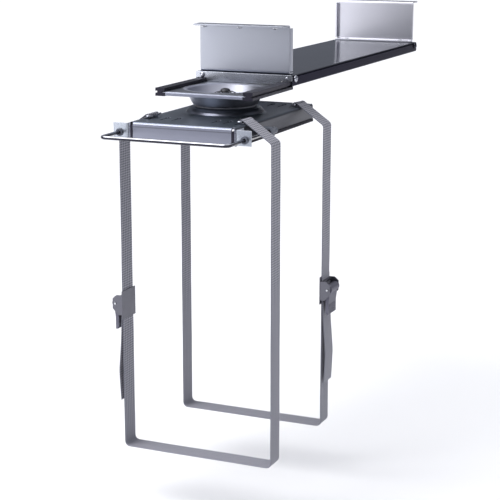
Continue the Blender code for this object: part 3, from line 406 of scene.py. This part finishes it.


# One steel for both hangers in two tones: the front copy darker as painted shade, the rear one lighter as
# painted light; drift paints light on their left ends and shade on their right ends.
FRONT_HANGER_SHADED_STEEL = sheet_metal("front_hanger_shaded_steel", (0.37, 0.385, 0.44), 0.32, grain=0.02, wear=0.30,
                                 mottling=0.03, relief=0.05, edge=(0.66, 0.67, 0.73), drift=0.12)
REAR_HANGER_LIT_STEEL = sheet_metal("rear_hanger_lit_steel", (0.50, 0.50, 0.555), 0.32, grain=0.02, wear=0.30,
                                mottling=0.03, relief=0.05, edge=(0.76, 0.77, 0.82), drift=0.18)
# Painted shade: the track's sides get a near-black tone and a duller reflection; drift paints light on its
# left end and shade on its right end.
SLATE_GLOSS = sheet_metal("track_slate", (0.068, 0.078, 0.105), 0.15, along="Y", grain=0.04, wear=0.16,
                          mottling=0.06, relief=0.15, edge=(0.45, 0.47, 0.54), metallic=0.85,
                          side=(0.032, 0.031, 0.050), side_tint=0.4, drift=0.20)
# Painted light and shade: the tray's front face gets a lighter tone and its sides a darker one, and crease
# paints a dark line of shade along the front face.
TRAY_SLATE = sheet_metal("tray_slate", (0.155, 0.185, 0.23), 0.30, along="Y", grain=0.05, wear=0.10,
                         mottling=0.04, relief=0.12, edge=(0.45, 0.47, 0.54), metallic=0.85,
                         front=(0.24, 0.25, 0.31), side=(0.052, 0.054, 0.068),
                         crease=TRAY_TOP - 0.0064)
EAR_STEEL = sheet_metal("ear_steel", (0.40, 0.43, 0.49), 0.28, along="Z", wear=0.35, mottling=0.05,
                        relief=0.12, edge=(0.80, 0.82, 0.88))
# drift paints light on the bar's left end and shade on its right end.
BAR_STEEL = sheet_metal("bar_steel", (0.355, 0.37, 0.415), 0.26, grain=0.05, wear=0.4,
                        mottling=0.05, relief=0.15, edge=(0.75, 0.75, 0.80), drift=0.46)
BUCKLE_STEEL = sheet_metal("buckle_steel", (0.15, 0.15, 0.175), 0.40, along="Y", wear=0.2, relief=0.12,
                           edge=(0.40, 0.40, 0.45))
ZINC = chrome("zinc_plate", (0.60, 0.61, 0.64), 0.22, 0.15)
BRIGHT = chrome("bright_screw", (0.46, 0.47, 0.52), 0.16)
# The handle's dark sides and underside are painted shade and reflection, not a finish of their own.
HANDLE_CHROME = chrome("handle_chrome", (0.52, 0.53, 0.58), 0.06, under=(0.045, 0.045, 0.058))
DARK_SCREW = chrome("slate_screw", (0.05, 0.052, 0.066), 0.25)
BLACK_OXIDE = blackened("black_oxide", (0.030, 0.030, 0.034))
BLACK_PLASTIC = moulded("black_moulding", (0.010, 0.010, 0.014))
GREY_PLASTIC = moulded("grey_moulding", (0.095, 0.105, 0.125), 0.44, 900.0)
LEVER_PLASTIC = moulded("lever_moulding", (0.11, 0.11, 0.135), 0.45, 900.0)
RUBBER = moulded("edge_rubber", (0.008, 0.008, 0.009), 0.66, 700.0)
NYLON = moulded("bearing_nylon", (0.30, 0.31, 0.34), 0.42, 900.0)
DISH_STEEL = dish_steel()
WEBBING = webbing()
THREAD = thread()

put_on(FRONT_HANGER_SHADED_STEEL, "front_hanger")
put_on(REAR_HANGER_LIT_STEEL, "rear_hanger")
put_on(SLATE_GLOSS, "track_channel", "rear_stop_bar")
put_on(BAR_STEEL, "front_stop_bar")
put_on(ZINC, "pivot_washer", "pivot_lock_nut")
put_on(DISH_STEEL, "swivel_plate")
put_on(BLACK_PLASTIC, *[f"{s}_{p}" for s in SIDES for p in ("runner", "corner_plug")])
put_on(GREY_PLASTIC, *[f"{s}_{p}" for s in SIDES for p in ("handle_bush", "handle_guide", "handle_cap")])
put_on(NYLON, "bearing_disc")
put_on(TRAY_SLATE, "holder_tray")
put_on(EAR_STEEL, "left_ear", "right_ear")
put_on(RUBBER, "left_edge_trim", "right_edge_trim")
put_on(BLACK_OXIDE, "pivot_bolt")
put_on(ZINC, *[f"{e}_buckle_pin" for e in ENDS])
put_on(BUCKLE_STEEL, *[f"{e}_buckle_frame" for e in ENDS])
put_on(LEVER_PLASTIC, *[f"{e}_buckle_lever" for e in ENDS])


def smooth_rounds(name, limit):
    """A modifier group that shades faces smooth across edges below the limit, and sharp above it."""
    group = bpy.data.node_groups.new(name, "GeometryNodeTree")
    for way in ("INPUT", "OUTPUT"):
        group.interface.new_socket("Geometry", in_out=way, socket_type="NodeSocketGeometry")
    nodes, links = group.nodes, group.links
    start, end = nodes.new("NodeGroupInput"), nodes.new("NodeGroupOutput")
    faces, edges = (nodes.new("GeometryNodeSetShadeSmooth") for _ in range(2))
    faces.domain, edges.domain = "FACE", "EDGE"
    edges.inputs["Shade Smooth"].default_value = False
    turn = nodes.new("GeometryNodeInputMeshEdgeAngle")
    steep = nodes.new("FunctionNodeCompare")
    steep.data_type, steep.operation = "FLOAT", "GREATER_THAN"
    steep.inputs[1].default_value = math.radians(limit)
    links.new(start.outputs[0], faces.inputs["Geometry"])
    links.new(faces.outputs[0], edges.inputs["Geometry"])
    links.new(turn.outputs["Unsigned Angle"], steep.inputs[0])
    links.new(steep.outputs[0], edges.inputs["Selection"])
    links.new(edges.outputs[0], end.inputs[0])
    return group


SMOOTH_ROUNDS = smooth_rounds("smooth_rounds", 35.0)
SMOOTH_PRESSING = smooth_rounds("smooth_pressing", 11.0)
for key, node in NODES.items():
    node.modifiers.new("joined_faces", "WELD").merge_threshold = 0.002 * MM
    group = SMOOTH_PRESSING if key in ("holder_tray", "swivel_plate") else SMOOTH_ROUNDS
    node.modifiers.new("smooth_rounds", "NODES").node_group = group
    node.modifiers.new("flat_faces", "WEIGHTED_NORMAL").keep_sharp = True


# ---------------------------------------------------------------- geometry helpers
def filleted(corners, radii, steps=6):
    """An open 2D polyline with rounded inner corners."""
    points = [Vector(corners[0])]
    for i in range(1, len(corners) - 1):
        a, b, c = (Vector(corners[i + k]) for k in (-1, 0, 1))
        u, v = (a - b).normalized(), (c - b).normalized()
        half = math.acos(max(-1, min(1, u.dot(v)))) / 2
        r = radii[i]
        start, end = b + u * (r / math.tan(half)), b + v * (r / math.tan(half))
        centre = b + (u + v).normalized() * (r / math.sin(half))
        a0 = math.atan2(*(start - centre).yx)
        sweep = (math.atan2(*(end - centre).yx) - a0 + math.pi) % (2 * math.pi) - math.pi
        points += [centre + r * Vector((math.cos(a0 + sweep * k / steps), math.sin(a0 + sweep * k / steps)))
                   for k in range(steps + 1)]
    return points + [Vector(corners[-1])]


def spaced(points, step):
    """The polyline again, with evenly spaced points."""
    lengths = [0.0]
    for a, b in zip(points, points[1:]):
        lengths.append(lengths[-1] + (b - a).length)
    count = max(2, round(lengths[-1] / step))
    out, k = [], 0
    for i in range(count + 1):
        s = lengths[-1] * i / count
        while k < len(points) - 2 and lengths[k + 1] < s:
            k += 1
        share = (s - lengths[k]) / max(1e-9, lengths[k + 1] - lengths[k])
        out.append(points[k].lerp(points[k + 1], max(0.0, min(1.0, share))))
    return out, lengths[-1]


def new_object(name, bm, material, smooth=True):
    mesh = bpy.data.meshes.new(name)
    bmesh.ops.recalc_face_normals(bm, faces=bm.faces)
    bm.to_mesh(mesh)
    bm.free()
    mesh.materials.append(material)
    for polygon in mesh.polygons:
        polygon.use_smooth = smooth
    obj = bpy.data.objects.new(name, mesh)
    bpy.context.scene.collection.objects.link(obj)
    return obj


def strip_section():
    """(across, out of the surface) points round a ribbed strip of webbing with rolled edges."""
    half, count = WEB_WIDTH / 2 - ROLLED_EDGE, RIBS * 4
    top = []
    for i in range(count + 1):
        y = -half + 2 * half * i / count
        rib = 0.5 - 0.5 * math.cos(2 * math.pi * RIBS * i / count)
        top.append((y, WEB / 2 - RIB_HEIGHT + RIB_HEIGHT * rib))
    rim = [(half + ROLLED_EDGE * math.cos(a), ROLLED_EDGE * math.sin(a)) for a in (0.8, 0.0, -0.8)]
    under = [(y, -n) for y, n in reversed(top)]
    return top + rim + under + [(-y, -n) for y, n in rim]


def strip(name, path, y):
    """Webbing swept along a path in the XZ plane, at y; its metre coordinates go into attribute strip."""
    points, length = spaced(path, STRIP_STEP)
    section = strip_section()
    bm = bmesh.new()
    tag = bm.verts.layers.float_vector.new("strip")
    rows = []
    for i, p in enumerate(points):
        a, b = points[max(0, i - 1)], points[min(len(points) - 1, i + 1)]
        t = (b - a).normalized()
        normal = Vector((-t.y, t.x))
        s = length * i / (len(points) - 1)
        waver = 0.00018 * math.sin(s * 41.0 + y * 90) + 0.00010 * math.sin(s * 97.0)
        row = []
        for w, n in section:
            at = p + normal * n
            v = bm.verts.new((at.x, y + w + waver, at.y))
            v[tag] = (s, w, n)
            row.append(v)
        rows.append(row)
    count = len(section)
    for r0, r1 in zip(rows, rows[1:]):
        for k in range(count):
            bm.faces.new((r0[k], r0[(k + 1) % count], r1[(k + 1) % count], r1[k]))
    for row in (rows[0], rows[-1]):
        for k in range(count // 2 - 1):
            bm.faces.new((row[k], row[k + 1], row[count - 2 - k], row[count - 1 - k]))
    return new_object(name, bm, WEBBING), points, length


def strap_path():
    """Centreline of a strap from the left hook round the case to the right hook, in (x, z)."""
    loop = HOOK_WIRE + 0.0003 + WEB / 2
    edge = Vector((TRAY_EDGE_X, TRAY_TOP + 0.0016))
    rod = Vector((HOOK_X, HOOK_Z))
    reach = edge - rod
    lean = math.atan2(reach.y, reach.x) + math.acos(loop / reach.length)
    fold = [rod + Vector((0.004, -loop))]
    start, end, steps = -math.pi / 2, -2 * math.pi + lean, 14
    fold += [rod + loop * Vector((math.cos(a), math.sin(a)))
             for a in (start + (end - start) * k / steps for k in range(steps + 1))]
    sling = filleted([fold[-1], edge, Vector((WEB_X, CASE_TOP + 0.0017)), Vector((WEB_X, WEB_BOTTOM)),
                      Vector((0.0, WEB_BOTTOM))], [0, 0.005, 0.005, 0.007, 0])
    right = fold + sling[1:-1]
    return [Vector((-p.x, p.y)) for p in right] + right[::-1]


def tail_path(side):
    """Centreline of a tail that hangs from its buckle, in (x, z)."""
    return filleted([Vector((side * x, BUCKLE_Z + z)) for x, z in TAIL_LINE], [0, 0.06, 0.06, 0.06, 0])


def stitches(name, points, length, places, y, inside):
    """Rows of short raised stitches across a strip, at distances along it, on the face away from inside."""
    bm = bmesh.new()
    reach, lift, thick, sides = 1.05 * MM, 0.20 * MM, 0.24 * MM, 7
    for s in places:
        at = s / length * (len(points) - 1)
        i = min(len(points) - 2, int(at))
        p = points[i].lerp(points[i + 1], at - i)
        t = (points[i + 1] - points[i]).normalized()
        out = Vector((-t.y, t.x))
        if out.dot(p - inside) < 0:
            out.negate()
        for k in range(STITCHES_PER_ROW):
            middle = (k - (STITCHES_PER_ROW - 1) / 2) * WEB_WIDTH * 0.88 / STITCHES_PER_ROW
            rings = []
            for step in range(6):
                u = -1 + 2 * step / 5
                bulge = math.sqrt(max(0.0, 1 - 0.75 * u * u))
                core = p + out * (WEB / 2 - 0.06 * MM + lift * (1 - u * u)) + t * (0.12 * MM * u)
                ring = []
                for q in range(sides):
                    a = 2 * math.pi * q / sides
                    x = core.x + thick * bulge * (math.cos(a) * out.x + math.sin(a) * t.x)
                    z = core.y + thick * bulge * (math.cos(a) * out.y + math.sin(a) * t.y)
                    ring.append(bm.verts.new((x, y + middle + reach * u, z)))
                rings.append(ring)
            for r0, r1 in zip(rings, rings[1:]):
                for q in range(sides):
                    bm.faces.new((r0[q], r0[(q + 1) % sides], r1[(q + 1) % sides], r1[q]))
            bm.faces.new(rings[0])
            bm.faces.new(rings[-1])
    return new_object(name, bm, THREAD)


def wire(name, runs, radius, material):
    """Round wire along open or closed runs of 3D points, as a welded mesh."""
    curve = bpy.data.curves.new(name, "CURVE")
    curve.dimensions = "3D"
    curve.bevel_depth = radius
    curve.bevel_resolution = 6
    curve.use_fill_caps = True
    for points, closed in runs:
        spline = curve.splines.new("POLY")
        spline.points.add(len(points) - 1)
        for slot, p in zip(spline.points, points):
            slot.co = (*p, 1)
        spline.use_cyclic_u = closed
    source = bpy.data.objects.new(name + "_curve", curve)
    bpy.context.scene.collection.objects.link(source)
    bm = bmesh.new()
    mesh = bpy.data.meshes.new_from_object(source.evaluated_get(bpy.context.evaluated_depsgraph_get()))
    bm.from_mesh(mesh)
    bmesh.ops.remove_doubles(bm, verts=bm.verts, dist=0.02 * MM)
    bpy.data.objects.remove(source)
    return new_object(name, bm, material)


def rounded_loop(corners, radius, closed=True, steps=8):
    """A flat run of (x, y) corners with rounded ones, as a list of points; closed runs wrap round."""
    if not closed:
        return filleted(corners, [radius] * len(corners), steps)
    first = (Vector(corners[0]) + Vector(corners[-1])) / 2
    return filleted([first, *corners, first], [radius] * (len(corners) + 2), steps)[:-1]


# ---------------------------------------------------------------- straps
CASE_MIDDLE = Vector((0.0, CASE_TOP - CASE_HEIGHT / 2))
for end in ENDS:
    y = STRAP_Y[end]
    strap, strap_points, strap_length = strip(f"{end}_webbing", strap_path(), y)
    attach(strap, "tray")
    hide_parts(f"{end}_strap")
    both_ends = SEAM_ROWS + [strap_length - s for s in SEAM_ROWS]
    seam = stitches(f"{end}_end_stitches", strap_points, strap_length, both_ends, y, CASE_MIDDLE)
    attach(seam, "tray")
    tail, tail_points, tail_length = strip(f"{end}_tail_webbing", tail_path(STRAP_SIDE[end]), y)
    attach(tail, "tray")
    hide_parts(f"{end}_strap_tail")
    hem = stitches(f"{end}_tail_stitches", tail_points, tail_length,
                   [tail_length - s for s in HEM_ROWS], y, CASE_MIDDLE)
    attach(hem, "tray")

# ---------------------------------------------------------------- wires
for end in ENDS:
    for side, label in SIDE_SIGNS:
        half = [(HOOK_X, HOOK_HALF), (HOOK_X - HOOK_END_DEPTH, HOOK_HALF), (PRONG_X, PRONG_HALF)]
        corners = half + [(x, -d) for x, d in reversed(half)]
        loop = [(side * x, STRAP_Y[end] + d, HOOK_Z) for x, d in rounded_loop(corners, HOOK_CORNER)]
        bend = [(side * (PRONG_X + PRONG_BEND - PRONG_BEND * math.cos(a)), STRAP_Y[end],
                 HOOK_Z + PRONG_BEND * math.sin(a)) for a in (0.9, 0.6, 0.3, 0.0)]
        prong = bend + [(side * PRONG_X, STRAP_Y[end], HOOK_Z - PRONG_DEPTH * k / 4) for k in range(1, 5)]
        hook = wire(f"{end}_{label}_hook_wire", [(loop, True), (prong, False)], HOOK_WIRE, BRIGHT)
        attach(hook, "tray")
        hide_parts(f"{end}_hook_{label}")

low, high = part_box("handle_bail")
bar_y, tail_y = low[1] + HANDLE_WIRE, high[1]
handle_z = (low[2] + high[2]) / 2
bail = rounded_loop([(-HANDLE_X, tail_y), (-HANDLE_X, bar_y), (HANDLE_X, bar_y), (HANDLE_X, tail_y)],
                    HANDLE_CORNER, closed=False, steps=14)
handle = wire("handle_wire", [([(x, y, handle_z) for x, y in bail], False)], HANDLE_WIRE, HANDLE_CHROME)
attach(handle, "handle")
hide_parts("handle_bail")


# ---------------------------------------------------------------- fasteners
def cross_recess(x, y, head):
    """Depth of a cross recess in a screw's head, as a share of its full depth."""
    wide, reach, soft = head * 0.13, head * 0.52, head * 0.07
    edge = min(max(abs(x) - reach, abs(y) - wide), max(abs(y) - reach, abs(x) - wide))
    return max(0.0, min(1.0, -edge / soft + 0.5))


def fastener(node, body, along, material, head, height, shank, tail=None, recess=False):
    """A domed screw or rivet in the box of its CAD node, crown towards along, turned smooth."""
    low, high = (Vector(p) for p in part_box(node))
    along = Vector(along)
    length = abs((high - low).dot(along))
    seat = (low + high) / 2 + along * (length / 2 - height)
    steps, rings = (72, 22) if recess else (40, 8)
    profile = []
    for i in range(rings + 1):
        a = math.pi / 2 * i / rings
        profile.append((head * math.sin(a), height * (0.16 + 0.84 * math.cos(a))))
    profile += [(head, 0.0), (shank, 0.0)]
    end = -(length - height)
    if tail:
        grip = end + height * 0.8
        profile += [(shank, grip), (tail, grip), (tail * 0.9, grip - height * 0.45),
                    (tail * 0.5, end), (0.0, end)]
    else:
        count = max(2, round(-end / SCREW_PITCH))
        for i in range(count):
            profile += [(shank * 0.86, end * (i + 0.5) / count), (shank, end * (i + 1) / count)]
        profile += [(0.0, end)]
    frame_of = along.to_track_quat("Z", "Y").to_matrix()
    bm = bmesh.new()
    rows = []
    for r, z in profile:
        if r < 1e-9:
            drop = 0.55 * height if recess and z > 0 else 0.0
            rows.append([bm.verts.new(seat + frame_of @ Vector((0, 0, z - drop)))])
            continue
        row = []
        for k in range(steps):
            a = 2 * math.pi * k / steps
            x, y = r * math.cos(a), r * math.sin(a)
            drop = 0.55 * height * cross_recess(x, y, head) if recess and z > 0 else 0.0
            row.append(bm.verts.new(seat + frame_of @ Vector((x, y, z - drop))))
        rows.append(row)
    for r0, r1 in zip(rows, rows[1:]):
        for k in range(steps):
            corner = [r0[k % len(r0)], r1[k % len(r1)], r1[(k + 1) % len(r1)], r0[(k + 1) % len(r0)]]
            bm.faces.new(list(dict.fromkeys(corner)))
    piece = new_object(node + "_turned", bm, material)
    piece.modifiers.new("smooth_rounds", "NODES").node_group = SMOOTH_ROUNDS
    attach(piece, body)
    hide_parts(node)


for side, label in SIDE_SIGNS:
    for end, material in (("front", BRIGHT), ("rear", DARK_SCREW)):
        fastener(f"{end}_side_screw_{label}", "track", (side, 0, 0), material, **SIDE_SCREW)
        fastener(f"{end}_hanger_rivet_{label}", "track", (0, 0, 1), ZINC, **HANGER_RIVET)
    fastener(f"{label}_ear_rivet", "tray", (side, 0, 0), ZINC, **EAR_RIVET)
for end in ENDS:
    for label in ("left", "middle", "right"):
        fastener(f"{end}_hanger_screw_{label}", "track", (0, 0, -1), ZINC, **HANGER_SCREW)
fastener("front_lock_bolt", "track", (0, -1, 0), BRIGHT, **LOCK_BOLT)
fastener("front_bar_rivet", "track", (0, -1, 0), BRIGHT, **BAR_RIVET)


def spider(name):
    """Spring washer: a dished ring with drooping fingers that narrow towards their tips."""
    low, high = (Vector(p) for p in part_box("spider_spring"))
    centre = (low + high) / 2
    outer, root, bore, sheet = (high.x - low.x) / 2, SPIDER_ROOT, SPIDER_BORE, SPIDER_SHEET
    top, fall = high.z, high.z - low.z - sheet
    bm = bmesh.new()

    def level(r):
        share = max(0.0, (r - root) / (outer - root))
        return top - fall * share ** 1.9

    def strip_of(stations):
        rows = [[bm.verts.new(p) for p in station] for station in stations]
        for r0, r1 in zip(rows, rows[1:]):
            for k in range(4):
                bm.faces.new((r0[k], r0[(k + 1) % 4], r1[(k + 1) % 4], r1[k]))
        return rows

    turns = 96
    ring = [[(centre.x + r * math.cos(a), centre.y + r * math.sin(a), z) for r, z in
             ((bore, top - 0.0002), (root, top), (root, top - sheet), (bore, top - sheet - 0.0002))]
            for a in (2 * math.pi * k / turns for k in range(turns))]
    rows = strip_of(ring)
    for k in range(4):
        bm.faces.new((rows[-1][k], rows[-1][(k + 1) % 4], rows[0][(k + 1) % 4], rows[0][k]))
    for finger in range(SPIDER_FINGERS):
        a = 2 * math.pi * (finger + 0.4) / SPIDER_FINGERS
        out, side = Vector((math.cos(a), math.sin(a), 0)), Vector((-math.sin(a), math.cos(a), 0))
        stations = []
        for k in range(13):
            r = root - 0.0012 + (outer - root + 0.0012) * k / 12
            half = 0.0017 - 0.0007 * k / 12
            if k > 10:
                half *= math.sqrt(1 - ((k - 10) / 2.6) ** 2)
            z = level(r)
            p = Vector((centre.x, centre.y, 0)) + out * r
            stations.append([(*(p + side * half).xy, z), (*(p - side * half).xy, z),
                             (*(p - side * half).xy, z - sheet), (*(p + side * half).xy, z - sheet)])
        rows = strip_of(stations)
        bm.faces.new(rows[0])
        bm.faces.new(rows[-1])
    piece = new_object(name, bm, BLACK_OXIDE)
    piece.modifiers.new("smooth_rounds", "NODES").node_group = SMOOTH_ROUNDS
    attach(piece, "tray")
    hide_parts("spider_spring")


spider("spider_fingers")


# ---------------------------------------------------------------- buckle levers
for end in ENDS:
    side, y = STRAP_SIDE[end], STRAP_Y[end]
    pin_z = BUCKLE_Z + LEVER_PIN_UP
    face = side * (LEVER_X + 0.0010)
    runs = []
    for k in range(LEVER_RIBS):
        z = pin_z - FIRST_LEVER_RIB - LEVER_RIB_STEP * k
        reach = LEVER_RIB_REACH - (0.0008 * k if k > 2 else 0.0)
        runs.append(([(face, y + reach * u / 4, z) for u in range(-4, 5)], False))
    ribs = wire(f"{end}_lever_ribs", runs, LEVER_RIB_WIRE, LEVER_PLASTIC)
    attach(ribs, f"{end}_lever")

# ---------------------------------------------------------------- floor, light and camera
def floor_material():
    g = Graph("pale_floor")
    cloud = g.noise(g.position(), 3.0, 2.0)
    return g.finish(Base_Color=g.mix(cloud, (0.90, 0.90, 0.91), (0.93, 0.93, 0.94)), Roughness=0.9,
                    Specular_IOR_Level=0.1)


FLOOR_Z = -0.66
bm = bmesh.new()
bmesh.ops.create_circle(bm, cap_ends=True, segments=96, radius=30.0)
floor = new_object("studio_floor", bm, floor_material(), smooth=False)
floor.location.z = FLOOR_Z


def area_light(name, at, target, size, power):
    data = bpy.data.lights.new(name, "AREA")
    data.shape = "RECTANGLE"
    data.size, data.size_y = size
    data.energy = power
    lamp = bpy.data.objects.new(name, data)
    bpy.context.scene.collection.objects.link(lamp)
    lamp.location = at
    lamp.rotation_euler = (Vector(target) - Vector(at)).to_track_quat("-Z", "Y").to_euler()


sun_data = bpy.data.lights.new("soft_sun", "SUN")
sun_data.angle = math.radians(50)
sun_data.energy = 2.0
sun = bpy.data.objects.new("soft_sun", sun_data)
bpy.context.scene.collection.objects.link(sun)
sun.rotation_euler = Vector((0.45, 0.50, -1.0)).to_track_quat("-Z", "Y").to_euler()
area_light("key_softbox", (-1.15, -2.0, 1.2), (0, 0, -0.2), (1.2, 1.2), 14)
area_light("left_strip", (-1.15, -1.35, -0.10), (-0.05, 0.1, -0.05), (0.7, 0.8), 3.2)

world = bpy.data.worlds.new("studio")
world.use_nodes = True
sky = world.node_tree
height = sky.nodes.new("ShaderNodeSeparateXYZ")
sky.links.new(sky.nodes.new("ShaderNodeTexCoord").outputs["Generated"], height.inputs[0])
ramp = sky.nodes.new("ShaderNodeValToRGB")
sky.links.new(height.outputs[2], ramp.inputs[0])
ramp.color_ramp.elements[0].position = 0.10
ramp.color_ramp.elements[0].color = (0.15, 0.16, 0.19, 1)
ramp.color_ramp.elements[1].position = 0.85
ramp.color_ramp.elements[1].color = (0.95, 0.96, 1.0, 1)
middle = ramp.color_ramp.elements.new(0.40)
middle.color = (0.30, 0.31, 0.35, 1)
# The backdrop is white where it is seen directly; the ramp lights the part and shows in its reflections
direct = sky.nodes.new("ShaderNodeMix")
direct.data_type = "RGBA"
direct.inputs[MIX_B].default_value = (1, 1, 1, 1)
sky.links.new(sky.nodes.new("ShaderNodeLightPath").outputs["Is Camera Ray"], direct.inputs[0])
sky.links.new(ramp.outputs[0], direct.inputs[MIX_A])
sky.links.new(direct.outputs[MIX_RESULT], sky.nodes["Background"].inputs[0])
bpy.context.scene.world = world
bpy.context.scene.view_settings.view_transform = "Standard"

YAW, PITCH = math.radians(23.846), math.radians(13.023)
FOCAL, FRAME_WIDTH, SENSOR_WIDTH = 1500.0, 500.0, 36.0
camera_data = bpy.data.cameras.new("main_camera")
camera_data.sensor_width = SENSOR_WIDTH
camera_data.lens = FOCAL / FRAME_WIDTH * SENSOR_WIDTH
camera_data.clip_start, camera_data.clip_end = 0.05, 100.0
camera = bpy.data.objects.new("main_camera", camera_data)
bpy.context.scene.collection.objects.link(camera)
camera.location = (0.8582, -1.9122, 0.1639)
forward = Vector((-math.sin(YAW) * math.cos(PITCH), math.cos(YAW) * math.cos(PITCH), -math.sin(PITCH)))
camera.rotation_euler = forward.to_track_quat("-Z", "Y").to_euler()
bpy.context.scene.camera = camera
